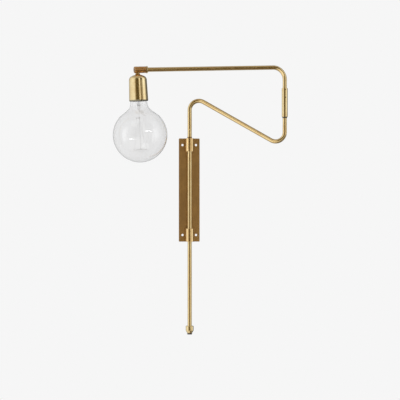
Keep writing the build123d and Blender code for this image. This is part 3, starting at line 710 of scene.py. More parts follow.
@dataclass(frozen=True)
class ClearGlass(Finish):
    """Clear lamp glass with slow ripples and faint smudges.

    Args:
        tint: the tone of the glass.
        streak: the tone in its faint streaks.
        ripple: the height of its ripples, in micrometres.
        smudged: roughness where it was handled.
        shadow: how much of a lamp's light it lets through to what is behind it.
    """

    tint: Colour
    streak: Colour
    ripple: float = 4.0
    smudged: float = 0.03
    shadow: float = 0.96

    def sockets(self, graph: Graph, where: Socket, drawn: Triple) -> dict[str, object]:
        """Tone, roughness and ripples of clear glass."""
        streaks = SHELF.place(graph, Effect.TARNISH, where, 22.0, 0.3)
        smudge = SHELF.place(graph, Effect.HANDLING, where, 40.0)
        return {
            "Base Color": graph.blend(streaks, self.tint, self.streak),
            "Roughness": graph.product(smudge, self.smudged),
            "Normal": graph.bump(graph.noise(where, 28.0, 1.0), self.ripple),
            "Transmission Weight": 1.0, "IOR": 1.5}

    def surface(self, graph: Graph, shader: Socket) -> Socket:
        """The glass, clear to the lamps' light."""
        return graph.mixed(graph.ray("Is Shadow Ray"), shader, self.shadow)


@dataclass(frozen=True)
class FloorPaper(Finish):
    """White paper that fades out round the lamp and is clear to gloss.

    Args:
        near: how far from the lamp's middle it starts to fade, in metres.
        far: how far off it is gone.
    """

    near: float
    far: float

    def sockets(self, graph: Graph, where: Socket, drawn: Triple) -> dict[str, object]:
        """A faint grain of two whites."""
        tone = graph.blend(graph.noise(where, 240.0, 4.0), (0.90,) * 3, (0.93,) * 3)
        return {"Base Color": tone, "Roughness": 0.9, "Specular IOR Level": 0.1}

    def surface(self, graph: Graph, shader: Socket) -> Socket:
        """The paper, clear past its rim and to glossy rays."""
        where = graph.add("TexCoord").outputs["Object"]
        reach = graph.add("VectorMath", {0: where}, operation="LENGTH").outputs["Value"]
        fade = graph.spread(reach, self.near, self.far)
        return graph.mixed(graph.math("MAXIMUM", fade, graph.ray("Is Glossy Ray")), shader, 1.0)


BRASS = Metal("brass", (0.90, 0.75, 0.43), (0.80, 0.61, 0.31), (0.94, 0.82, 0.54), lacquer=0.15)
# the cup turns dark from 69.2 mm below the arm's axis down to its rim: painted shade along the rim
CUP_BRASS_WITH_PAINTED_SHADE = replace(BRASS, name="cup_brass", metallic=0.97, painted_shade_span=(-69.2, -69.9))
TUBE_BRASS = replace(
    BRASS, name="tube_brass", polished=(0.87, 0.70, 0.38), dulled=(0.77, 0.56, 0.27))
BUSHING_BRASS = replace(
    BRASS, name="bushing_brass", polished=(0.92, 0.69, 0.36), dulled=(0.82, 0.56, 0.25))
TURNED_BRASS = Metal(
    "turned_brass", (0.78, 0.47, 0.21), (0.62, 0.34, 0.13), (0.92, 0.74, 0.42), roughness=0.14,
    line_gap=0.5, lacquer=0.1)
# brass darkened to painted shade for the stem collar, which lies in shade under the barrel
STEM_BRASS_PAINTED_SHADE = Metal(
    "stem_brass_painted_shade", (0.46, 0.30, 0.11), (0.34, 0.21, 0.075), (0.72, 0.52, 0.26), roughness=0.2)
PLATE_BRASS = Metal(
    "plate_brass", (0.47, 0.277, 0.098), (0.37, 0.214, 0.078), (0.80, 0.58, 0.30), roughness=0.32,
    cover=0.5, patch=45.0, line_gap=0.5, lacquer=0.1, metallic=0.94)
DARK_BRASS = Metal(
    "dark_brass", (0.40, 0.24, 0.10), (0.24, 0.14, 0.06), (0.70, 0.50, 0.25), roughness=0.34)
SHELL_BRASS = Metal(
    "shell_brass", (0.86, 0.68, 0.36), (0.66, 0.47, 0.22), (0.92, 0.78, 0.50), roughness=0.28,
    patch=12.0)
ZINC_STEEL = Metal(
    "zinc_steel", (0.66, 0.68, 0.70), (0.50, 0.50, 0.49), (0.80, 0.80, 0.80), roughness=0.33,
    patch=6.0)
SPRING_STEEL = Metal(
    "spring_steel", (0.36, 0.35, 0.34), (0.24, 0.22, 0.20), (0.62, 0.61, 0.60), roughness=0.3,
    patch=5.0)
BLACK_STEEL = Metal(
    "black_steel", (0.11, 0.105, 0.10), (0.07, 0.065, 0.06), (0.38, 0.37, 0.36), roughness=0.38,
    patch=3.0, line_gap=0.2)
CAP_NICKEL = Metal(
    "cap_nickel", (0.72, 0.69, 0.63), (0.56, 0.52, 0.45), (0.84, 0.80, 0.72), roughness=0.24,
    patch=10.0)
WIRE_NICKEL = Metal(
    "wire_nickel", (0.52, 0.50, 0.47), (0.38, 0.35, 0.31), (0.66, 0.64, 0.60), roughness=0.3,
    patch=8.0, line_gap=0.15, line_depth=2.0)
SOLDER = Metal(
    "solder", (0.60, 0.61, 0.62), (0.42, 0.42, 0.42), (0.74, 0.74, 0.74), roughness=0.42,
    patch=4.0, line_depth=9.0)
WHITE_NYLON = Moulded(
    "white_nylon", (0.80, 0.79, 0.75), (0.72, 0.70, 0.63), (0.86, 0.86, 0.84), roughness=0.42)
BLACK_NYLON = Moulded(
    "black_nylon", (0.022, 0.021, 0.020), (0.035, 0.033, 0.030), (0.10, 0.10, 0.095), roughness=0.4)
BLACK_RUBBER = Moulded(
    "black_rubber", (0.075, 0.058, 0.040), (0.10, 0.082, 0.06), (0.17, 0.15, 0.12), roughness=0.62,
    grain=0.3, grain_depth=25.0)
PORCELAIN = Moulded(
    "porcelain", (0.82, 0.80, 0.74), (0.74, 0.71, 0.63), (0.62, 0.57, 0.48), roughness=0.28,
    grain=1.6, grain_depth=20.0, glaze=0.6, dust=0.15)
BLACK_GLASS = Moulded(
    "black_glass", (0.012, 0.012, 0.016), (0.03, 0.028, 0.035), (0.12, 0.12, 0.13), roughness=0.14,
    grain=2.5, glaze=0.5)
CARBON = Moulded(
    "filament_carbon", (0.10, 0.075, 0.045), (0.16, 0.12, 0.07), (0.26, 0.20, 0.12), roughness=0.4,
    grain=0.1, grain_depth=3.0, dust=0.0)
LAMP_GLASS = ClearGlass("clear_glass", (0.928, 0.928, 0.929), (0.908, 0.909, 0.911))


def dress(material: Material, *nodes: str) -> None:
    """Gives a material to every slot of the named CAD nodes."""
    for name in nodes:
        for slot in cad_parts[name].material_slots:
            slot.material = material
    log.info("dressed %s in %s", ", ".join(nodes), material.name)


def settle(piece: Object, material: Material, body: str, slot: str, *nodes: str) -> None:
    """Finishes a new piece: its material, body and the nodes that it stands for.

    Args:
        piece: the object.
        material: its finish.
        body: the CAD body that it rides on.
        slot: the record's material slot; not used.
        nodes: the CAD nodes that it replaces.
    """
    piece.data.materials.append(material)
    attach(piece, body)
    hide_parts(*nodes)
    log.info("built %s with %d faces, on %s", piece.name, len(piece.data.polygons), body)


# Sub-assemblies

LENGTHWISE = (1.0, 0.02, 0.02)
SCREW_LINES = (1.0, 0.05, 1.0)
TUBE_PATTERN = Pattern("tube", lines=(1.0, 1.0, 0.012), straightened=True)


@dataclass
class WallBracket:
    """The wall plate with its two bushings, their liners, the bronze bush and the screws behind.

    Args:
        rod: the frame on the rod's axis.
    """

    rod: Place = Place((0.0, ROD_Y, 0.0))

    def dress_nodes(self) -> None:
        """Finishes the nodes that stay on the wall."""
        upright = Pattern("bracket", self.rod)
        dress(PLATE_BRASS.make(Pattern("wall", lines=(1.0, 0.4, 0.015))), "wall_plate")
        dress(BUSHING_BRASS.make(upright), "upper_bushing", "lower_bushing")
        dress(ZINC_STEEL.make(Pattern("bracket", lines=SCREW_LINES)), "back_screws")
        dress(WHITE_NYLON.make(upright), "upper_liner", "lower_liner")
        dress(DARK_BRASS.make(upright), "upper_bush")


@dataclass
class BentTube:
    """A bent round tube with a snap ring's groove, in millimetres.

    Args:
        bend: the bends' radius.
        radius: its outer radius.
        bore: its inner radius.
        groove_radius: the groove's radius.
        ring: the snap ring's thickness.
        play: the ring's play to either side in its groove.
        sides: facets round the section.
    """

    bend: float
    radius: float = 5.0
    bore: float = 4.0
    groove_radius: float = 4.55
    ring: float = 1.0
    play: float = 0.03
    sides: int = 56

    def surface(self, corners: Array, side: Array, ring_at: float) -> Surface:
        """The tube's wall: outside from end to end, then the bore back again.

        Args:
            corners: where the centreline's straight runs meet.
            side: the unit vector square to the plane of the bends.
            ring_at: where the ring starts along the centreline, from its end if below 0.

        Returns:
            One ring of rows with its straightened grid.
        """
        path = BentPath(corners, self.bend)
        stations = path.stations(run_step=40.0, arc_step=1.2)
        start = ring_at % path.length - self.play
        end = start + self.ring + 2 * self.play
        before, after = stations[stations < start], stations[stations > end]
        outside = np.concatenate((before, [start, start, end, end], after))
        length = np.concatenate((outside, stations[::-1]))
        radius = np.full(len(length), self.radius)
        radius[len(before) + 1:len(before) + 3] = self.groove_radius
        radius[len(outside):] = self.bore
        wall = carried(*path.at(length), side, radius, self.sides)
        return Surface(wall, ring=True, straightened=lathed(radius, length, self.sides))


@dataclass
class LowerArm:
    """The bent arm that swings in the wall bushings, with its gland at the foot, in millimetres.

    Args:
        reach: from the rod's axis to the column's.
        foot: the height of the rod's foot.
        rod_corner: the height where rod and diagonal meet.
        column_corner: the height where diagonal and column meet.
        column_top: the height of the column's top.
        ring_height: the height of the snap ring.
        tube: the tube's section and bends.
    """

    reach: float = 226.0
    foot: float = -328.0
    rod_corner: float = 225.0
    column_corner: float = 99.5
    column_top: float = 205.5
    ring_height: float = 111.2
    tube: BentTube = field(default_factory=lambda: BentTube(22.0))

    def build(self, brass: Material) -> None:
        """Builds the tube in the tubes' brass and finishes the arm's other nodes."""
        corners = np.array([
            (0.0, ROD_Y, self.foot), (0.0, ROD_Y, self.rod_corner),
            (self.reach, ROD_Y, self.column_corner), (self.reach, ROD_Y, self.column_top)])
        wall = self.tube.surface(corners, BACK, self.ring_height - self.foot)
        piece = shaped("lower_arm_drawn_tube", [wall])
        settle(piece, brass, "lower_arm", "brass", "lower_arm_tube")
        upright = Pattern("rod", Place((0.0, ROD_Y, 0.0)))
        dress(BRASS.make(upright), "gland_body")
        dress(BLACK_RUBBER.make(upright), "gland_bush")
        dress(BLACK_STEEL.make(Pattern("rod", lines=SCREW_LINES)), "gland_grub_screw")
        dress(SPRING_STEEL.make(upright), "rod_snap_ring")


@dataclass
class UpperArm:
    """The elbow and the bent arm that it carries, in millimetres.

    Args:
        column: a point on the column's axis.
        rest_angle: how far the arm stands out from the folded position, in degrees.
        tube_foot: the height of the tube's foot in the elbow.
        corner: the height where the tube's centrelines meet over the column.
        length: from the column's axis to the holder's axis.
        fall: how far the arm falls below the horizontal, in degrees.
        tube_end: how far the tube's end stays from the holder's axis.
        ring_reach: how far the snap ring stays from the holder's axis.
        tube: the tube's section and bends.
    """

    column: Triple = (226.0, ROD_Y, 0.0)
    rest_angle: float = 11.0
    tube_foot: float = 207.0
    corner: float = 290.4
    length: float = 360.0
    fall: float = 2.4
    tube_end: float = 4.9
    ring_reach: float = 6.1
    tube: BentTube = field(default_factory=lambda: BentTube(28.0))

    def place(self) -> Place:
        """The arm's own frame, over the column, with the arm along -X."""
        return Place(self.column, (0.0, 0.0, self.rest_angle))

    def along(self, run: float) -> Triple:
        """The point of the arm's axis at a distance from the column, in the arm's frame."""
        fall = math.radians(self.fall)
        return -run * math.cos(fall), 0.0, self.corner - run * math.sin(fall)

    def holder_place(self) -> Place:
        """The holder's frame: +X along the arm to the column, the holder hanging along -Z."""
        origin = self.place().to_row(np.array([self.along(self.length)]))[0] / MM
        return Place(tuple(origin), (0.0, -self.fall, self.rest_angle))

    def build(self, brass: Material) -> None:
        """Builds the tube in the tubes' brass and finishes the arm's other nodes."""
        corners = np.array([
            (0.0, 0.0, self.tube_foot), (0.0, 0.0, self.corner),
            self.along(self.length - self.tube_end)])
        ring_at = self.tube_end - self.ring_reach - self.tube.ring
        wall = self.tube.surface(corners, -BACK, ring_at)
        piece = shaped("upper_arm_drawn_tube", [wall], self.place())
        settle(piece, brass, "upper_arm", "brass", "upper_arm_tube")
        elbow = Pattern("elbow", Place(self.column))
        dress(BRASS.make(elbow), "elbow_sleeve")
        dress(BLACK_NYLON.make(elbow), "elbow_liner")
        dress(WHITE_NYLON.make(elbow), "elbow_thrust_disc")
        dress(BLACK_STEEL.make(Pattern("elbow", self.place(), SCREW_LINES)), "elbow_grub_screws")
        end = Pattern("arm_end", self.holder_place(), LENGTHWISE)
        dress(BRASS.make(end), "arm_collar")
        dress(BLACK_NYLON.make(end), "friction_washer")
        dress(SPRING_STEEL.make(end), "arm_snap_ring")


@dataclass
class RolledThread:
    """A rolled round thread in thin metal, in millimetres.

    The metal lies depth * window(z) * (1 - cos(2 pi z / pitch - a)) / 2 below the crest, with
    the window eased from 0 to 1 at both ends.

    Args:
        depth: the thread's depth.
        top: the height where it starts.
        foot: the height where it ends.
        fade: over what height it eases in and out.
        sides: facets round the thread.
    """

    depth: float
    top: float
    foot: float
    fade: float = 1.6
    sides: int = 84

    def dip(self, height: Array) -> Array:
        """How far the metal dips below the crest, rows by sides, for one height a row."""
        wave = (1 - np.cos(2 * math.pi * height[:, None] / THREAD_PITCH - turns(self.sides))) / 2
        window = eased(height, self.foot, self.foot + self.fade)
        window = window * eased(-height, -self.top, -self.top + self.fade)
        return self.depth * window[:, None] * wave


@dataclass
class SwivelHolder:
    """The barrel, stem, cup and lampholder that turn about the arm's end, in millimetres.

    Args:
        place: the holder's frame.
        shell_top: how far below the axis the screw shell's top lies.
        shell_length: the shell's length.
        shell_radius: its outer radius.
        shell_wall: its wall.
        shell_lip: how far its top lip reaches in.
        thread_depth: its thread's depth.
        rows: how many rows the shell has on its outside.
    """

    place: Place
    shell_top: float = 33.0
    shell_length: float = 25.0
    shell_radius: float = 14.15
    shell_wall: float = 0.6
    shell_lip: float = 1.4
    thread_depth: float = 0.45
    rows: int = 110

    def build(self) -> None:
        """Builds the threaded shell and finishes the holder's nodes."""
        upright = Pattern("holder", self.place)
        dress(TURNED_BRASS.make(Pattern("barrel", self.place, LENGTHWISE)), "swivel_barrel")
        dress(DARK_BRASS.make(Pattern("barrel_end", self.place, (0.3, 1.0, 1.0))), "barrel_cap")
        # the cup's brass carries a band of painted shade along its rim
        dress(CUP_BRASS_WITH_PAINTED_SHADE.make(upright), "holder_cup")
        # the stem collar gets brass darkened to painted shade
        dress(STEM_BRASS_PAINTED_SHADE.make(upright), "stem_collar")
        dress(ZINC_STEEL.make(upright), "stem_nipple", "cup_nut", "terminal_screws")
        dress(PORCELAIN.make(upright), "lampholder_body")
        shell = SHELL_BRASS.make(upright)
        dress(shell, "centre_contact")
        settle(self.screw_shell(), shell, "holder", "shell_brass", "screw_shell")

    def screw_shell(self) -> Object:
        """The lampholder's threaded shell, open at both ends, its lip turned in at the top."""
        top, foot = -self.shell_top, -self.shell_top - self.shell_length
        thread = RolledThread(self.thread_depth, top - 2.0, foot + 0.8)
        height = np.linspace(top, foot, self.rows)
        outer = self.shell_radius - thread.dip(height)
        inner = np.minimum(self.shell_radius - self.shell_wall, outer - self.shell_wall * 0.9)
        lip = np.full((2, thread.sides), self.shell_radius - self.shell_lip)
        below = top - self.shell_wall
        kept = height < below
        radius = np.concatenate((outer, inner[kept][::-1], inner[:1], lip))
        levels = np.concatenate((height, height[kept][::-1], [below, below, top]))
        wall = Surface(lathed(radius, levels, thread.sides), ring=True)
        return shaped("threaded_screw_shell", [wall], self.place)


@dataclass(frozen=True)
class Tier:
    """The support wires at one bead of the glass rod, in millimetres.

    Args:
        drop: how far below the arm's axis they lie.
        reach: how far they reach.
        angles: their directions, in degrees.
        up: 1 for eyes above the wires, -1 for eyes below them.
    """

    drop: float
    reach: float
    angles: tuple[float, ...]
    up: float


@dataclass
class GlobeBulb:
    """The globe bulb: screw cap, glass, stem, wires and filament, in millimetres.

    Args:
        place: the holder's frame.
        cap_foot: how far below the arm's axis the cap's foot lies.
        cap_length: the cap's length.
        cap_radius: the thread's crest.
        shoulder_radius: the radius of the cap's top.
        skirt: how much of the cap is plain skirt.
        skirt_flare: how far the skirt's foot stands out.
        cap_wall: the cap's wall.
        thread_depth: the depth of its thread.
        flare_radius: the radius of the glass stem's rim.
        stem_length: the glass stem's length.
        stem_wall: the stem's wall.
        press_half: half the width of the stem's pressed end.
        rod_radius: the glass rod's radius.
        bead_radius: the radius of the beads that hold the wires.
        upper: the upper supports.
        lower: the lower supports.
        lead_angles: directions of the two lead wires, in degrees.
        lead_reach: how far the leads reach.
        lead_drop: how far below the arm's axis they end.
        wire_radius: the radius of supports and leads.
        hook_radius: the radius of the eyes that hold the filament.
        clamp_foot: how far the leads' clamps reach below their ends.
        coil_radius: the radius of the filament's coil.
        coil_pitch: its pitch.
        coil_steps: how many points a turn of it has.
        drawn_in: how far a span is drawn in to the rod halfway, as a share.
        thread_radius: the radius of the filament's own thread.
    """

    place: Place
    cap_foot: float = 65.8
    cap_length: float = 23.0
    cap_radius: float = 13.1
    shoulder_radius: float = 11.5
    skirt: float = 4.0
    skirt_flare: float = 0.4
    cap_wall: float = 0.5
    thread_depth: float = 0.95
    flare_radius: float = 11.47
    stem_length: float = 29.0
    stem_wall: float = 0.6
    press_half: float = 3.0
    rod_radius: float = 1.0
    bead_radius: float = 2.0
    upper: Tier = Tier(110.5, 9.0, (80.0, 200.0), -1.0)
    lower: Tier = Tier(183.5, 18.0, (20.0, 140.0, 260.0), 1.0)
    lead_angles: tuple[float, ...] = (300.0, 0.0)
    lead_reach: float = 14.0
    lead_drop: float = 105.0
    wire_radius: float = 0.3
    hook_radius: float = 0.75
    clamp_foot: float = 1.3
    coil_radius: float = 0.12
    coil_pitch: float = 0.55
    coil_steps: int = 7
    drawn_in: float = 0.06
    thread_radius: float = 0.04

    def build(self) -> None:
        """Builds the fine pieces and finishes the bulb's nodes."""
        upright = Pattern("bulb", self.place)
        glass, wire = LAMP_GLASS.make(upright), WIRE_NICKEL.make(upright)
        dress(glass, "bulb_glass")
        dress(SOLDER.make(upright), "bulb_contact")
        dress(BLACK_GLASS.make(upright), "bulb_insulator")
        for piece, finish, slot, node in (
            (self.screw_cap(), CAP_NICKEL.make(upright), "cap_nickel", "bulb_cap"),
            (self.stem(), glass, "clear_glass", "glass_stem"),
            (self.rod(), glass, "clear_glass", "glass_rod"),
            (self.supports(), wire, "wire_nickel", "support_wires"),
            (self.leads(), wire, "wire_nickel", "lead_wires"),
            (self.filament(), CARBON.make(upright), "filament_carbon", "filament"),
        ):
            settle(piece, finish, "holder", slot, node)

    def stem_top(self) -> float:
        """The height of the glass stem's rim."""
        return -self.cap_foot + self.skirt

    def screw_cap(self) -> Object:
        """The bulb's cap: a thin threaded cup with a rounded shoulder and a flared skirt."""
        foot, skirt = -self.cap_foot, self.stem_top()
        top = foot + self.cap_length
        rise = self.cap_radius - self.shoulder_radius
        thread = RolledThread(self.thread_depth, top - rise, skirt + 0.3)
        bend = np.linspace(0.0, QUARTER, 9)
        side = np.linspace(top - rise, skirt, 84)[1:]
        ones = np.ones(thread.sides)
        rim = np.concatenate(([0.0], self.shoulder_radius + rise * np.sin(bend)))
        hem = np.full(2, self.cap_radius + self.skirt_flare)
        outside = np.concatenate((
            rim[:, None] * ones, self.cap_radius - thread.dip(side), hem[:, None] * ones))
        level = np.concatenate((
            [top], top - rise + rise * np.cos(bend), side, [skirt - self.skirt_flare, foot]))
        inside = np.maximum(outside[::-1] - self.cap_wall, 0.0)
        within = level[::-1].copy()
        within[-len(rim):] -= self.cap_wall
        radius, levels = np.concatenate((outside, inside)), np.concatenate((level, within))
        cup = Surface(lathed(radius, levels, thread.sides))
        return shaped("threaded_bulb_cap", [cup], self.place)

    def stem(self) -> Object:
        """The glass stem: a thin funnel that narrows to a tube, pressed flat at its lower end.

        With t the share of the way down, the radius is tube + (flare - tube) * (1 - e(t))^1.6,
        where e eases from 0 to 1, and the section's depth narrows to a third over the press.
        The hollow closes where the press begins.
        """
        share = np.linspace(0.0, 1.0, 56)
        tube = self.press_half * 1.2
        pressed = eased(share, 0.56, 0.80)
        funnel = (self.flare_radius - tube) * (1 - eased(share, 0.0, 0.36)) ** 1.6
        radius = tube + funnel - 0.2 * pressed
        narrow = 1 - 0.64 * pressed
        level = self.stem_top() - (self.stem_length - self.stem_wall) * share
        end = np.linspace(0.0, QUARTER, 9)[1:]
        hollow = share < 0.74
        inner = (radius[hollow] - self.stem_wall) * np.sqrt(1 - eased(share[hollow], 0.5, 0.74))
        inner[-1] = 0.0
        radii = np.concatenate((inner[::-1], radius, radius[-1] * np.cos(end)))
        levels = np.concatenate((
            level[hollow][::-1], level, level[-1] - self.stem_wall * np.sin(end)))
        depths = np.concatenate((narrow[hollow][::-1], narrow, np.full(len(end), narrow[-1])))
        glass = Surface(lathed(radii, levels, 56, depths))
        return shaped("pressed_glass_stem", [glass], self.place, SOFT)

    def rod(self) -> Object:
        """The glass rod with two melted beads: r + (b - r) * exp(-(dz / w)^2) at each bead."""
        top = self.stem_top() - self.stem_length
        height = np.linspace(top, -self.lower.drop, 220)
        swell = np.maximum(*(
            np.exp(-(((height + tier.drop) / (self.bead_radius * 0.85)) ** 2))
            for tier in (self.upper, self.lower)))
        radius = self.rod_radius + (self.bead_radius - self.rod_radius) * swell
        end = np.linspace(0.0, QUARTER, 10)[1:]
        radii = np.concatenate(([0.0], radius, radius[-1] * np.cos(end)))
        levels = np.concatenate((
            [top], height, -self.lower.drop - self.bead_radius * np.sin(end)))
        return shaped("beaded_glass_rod", [Surface(lathed(radii, levels, 28))], self.place, SOFT)

    def wire(self, points: Array, side: Array) -> Surface:
        """A round wire along a path, with rounded ends.

        Args:
            points: count by 3 points.
            side: the unit vector square to the wire, one for all points or one for each.

        Returns:
            Its surface, closed at both ends.
        """
        along = unit(np.gradient(points, axis=0))
        radius = np.full(len(points), self.wire_radius)
        radius[[0, -1]] = 0.0
        radius[[1, -2]] = self.wire_radius * 0.9
        centre = points.copy()
        centre[1] = points[0] + along[0] * self.wire_radius * 0.1
        centre[-2] = points[-1] - along[-1] * self.wire_radius * 0.1
        return Surface(carried(centre, along, side, radius, 10))

    def eyes(self, tier: Tier) -> list[Array]:
        """The centres of a tier's eyes."""
        inner = tier.reach - self.hook_radius - self.wire_radius
        level = (tier.up * self.hook_radius - tier.drop) * UP
        return [inner * outward(angle) + level for angle in tier.angles]

    def supports(self) -> Object:
        """Five support wires, each straight from its bead to an eye bent at its end."""
        surfaces = []
        curl = np.linspace(-QUARTER, math.pi * 1.15, 26)[:, None]
        for tier in (self.lower, self.upper):
            end = tier.reach - self.hook_radius - self.wire_radius
            run = np.linspace(self.bead_radius + 0.03, end, 12)[:-1, None]
            for angle, eye in zip(tier.angles, self.eyes(tier)):
                out = outward(angle)
                bent = np.cos(curl) * out + tier.up * np.sin(curl) * UP
                points = np.concatenate((run * out - tier.drop * UP, eye + self.hook_radius * bent))
                surfaces.append(self.wire(points, outward(angle + 90.0)))
        return shaped("support_wires_with_eyes", surfaces, self.place, SOFT)

    def lead_ends(self) -> list[Array]:
        """The lower ends of the lead wires."""
        return [self.lead_reach * outward(a) - self.lead_drop * UP for a in self.lead_angles]

    def leads(self) -> Object:
        """Two lead wires down the stem and through its press, each with a clamp at its end.

        Below the press a lead follows (1 - t)^2 a + 2 t (1 - t) b + t^2 c from the press a, past
        b, to its end c.
        """
        surfaces = []
        top, foot = self.stem_top(), self.stem_top() - self.stem_length
        clamp_z = np.array([-self.clamp_foot, -self.clamp_foot, -1.1, 0.3, 0.5, 0.5])
        clamp_r = np.array([0.0, 0.42, 0.5, 0.5, 0.42, 0.0])
        t = np.linspace(0.0, 1.0, 26)[:, None]
        for end, hand in zip(self.lead_ends(), (-1.0, 1.0)):
            start = np.array([hand * self.press_half * 0.9, 0.0, top + 1.0])
            leaving = np.array([hand * self.press_half * 0.5, 0.0, foot - self.wire_radius])
            beside = leaving + np.array([hand * 0.8, 0.0, -2.2])
            inside = start + (leaving - start) * np.linspace(0.0, 1.0, 18)[:-1, None]
            below = (1 - t) ** 2 * leaving + 2 * t * (1 - t) * beside + t**2 * end
            points = np.concatenate((inside, below))
            along = unit(np.gradient(points, axis=0))
            surfaces.append(self.wire(points, unit(BACK - along * along[:, 1:2])))
            surfaces.append(Surface(lathed(clamp_r, clamp_z, 14) + end))
        return shaped("lead_wires_with_clamps", surfaces, self.place, SOFT)

    def filament(self) -> Object:
        """The filament: a fine coil strung from lead to lead over the eyes.

        With t the share of the way, a span's centreline is drawn in to the rod by the factor
        1 - 4 d t (1 - t), and the coil runs round it at radius c, c (cos w * n + sin w * b).
        """
        held = 0.3 * UP
        low = [eye + held for eye in self.eyes(self.lower)]
        high = [eye - held for eye in self.eyes(self.upper)]
        ends = [end - self.clamp_foot * UP for end in self.lead_ends()]
        stops = [ends[1], low[0], high[0], low[1], high[1], low[2], ends[0]]
        surfaces = []
        for start, end in zip(stops[:-1], stops[1:]):
            length = float(np.linalg.norm(end - start))
            coils = round(length / self.coil_pitch)
            share = np.linspace(0.0, 1.0, coils * self.coil_steps + 1)
            line = start + (end - start) * share[:, None]
            line[:, :2] *= (1 - self.drawn_in * 4 * share * (1 - share))[:, None]
            along = (end - start) / length
            first = unit(np.cross(along, BACK))
            angle = (2 * math.pi * coils * share)[:, None]
            round_it = np.cos(angle) * first + np.sin(angle) * np.cross(along, first)
            ease = (eased(share, 0.0, 0.01) * eased(1 - share, 0.0, 0.01))[:, None]
            points = line + self.coil_radius * ease * round_it
            direction = unit(np.gradient(points, axis=0))
            out = unit(round_it)
            side = unit(out - np.sum(out * direction, axis=1, keepdims=True) * direction)
            radius = np.full(len(points), self.thread_radius)
            radius[[0, -1]] = 0.0
            surfaces.append(Surface(carried(points, direction, side, radius, 4)))
        return shaped("coiled_filament", surfaces, self.place, COILED)


# Studio

@dataclass(frozen=True)
class Patch:
    """A soft-edged patch of the studio that gloss sees.

    Args:
        sides: the bearings where it starts, is full, ends and is gone, in degrees.
        heights: the same for its level, from -1 underfoot to 1 overhead.
        tone: its tone.
    """

    sides: tuple[float, ...]
    heights: tuple[float, ...]
    tone: Colour

    def over(self, graph: Graph, bearing: Socket, level: Socket, below: Socket) -> Socket:
        """Lays the patch over what is below it.

        Args:
            graph: the world's graph.
            bearing: the ray's bearing, in radians.
            level: the height of the ray's direction.
            below: the colour without the patch.

        Returns:
            The colour with it.
        """
        a, b, c, d = (math.radians(side) for side in self.sides)
        e, f, g, h = self.heights
        mask = graph.product(
            graph.spread(bearing, a, b), graph.spread(bearing, c, d, 1.0, 0.0),
            graph.spread(level, e, f), graph.spread(level, g, h, 1.0, 0.0))
        return graph.blend(mask, below, self.tone)


ROUND = (
    (-180, 0.4), (-155, 0.45), (-137, 0.62), (-112, 0.85), (-90, 0.96), (-74, 1.0), (-59, 1.0),
    (-46, 0.93), (-38, 0.72), (-31, 0.34), (-24, 0.13), (-18, 0.09), (-8, 0.085), (3, 0.09),
    (8, 0.13), (12, 0.27), (17, 0.55), (22, 1.05), (26, 1.05), (31, 0.24), (37, 0.15), (43, 0.55),
    (46, 0.62), (52, 0.5), (58, 0.72), (65, 1.1), (85, 1.2), (96, 0.9), (107, 0.36), (115, 0.12),
    (150, 0.14), (180, 0.4))
PATCHES = (
    Patch((9.0, 15.0, 28.0, 33.0), (0.12, 0.18, 0.5, 0.65), (1.2, 1.13, 1.02)),
    Patch((31.0, 36.0, 56.0, 66.0), (0.12, 0.17, 0.6, 0.8), (0.055, 0.037, 0.017)),
    Patch((28.0, 33.0, 80.0, 105.0), (-1.05, -1.0, -0.2, -0.13), (0.15, 0.11, 0.065)),
    Patch((-75.0, -50.0, 10.0, 20.0), (-0.95, -0.8, -0.21, -0.14), (1.15, 1.10, 1.02)))


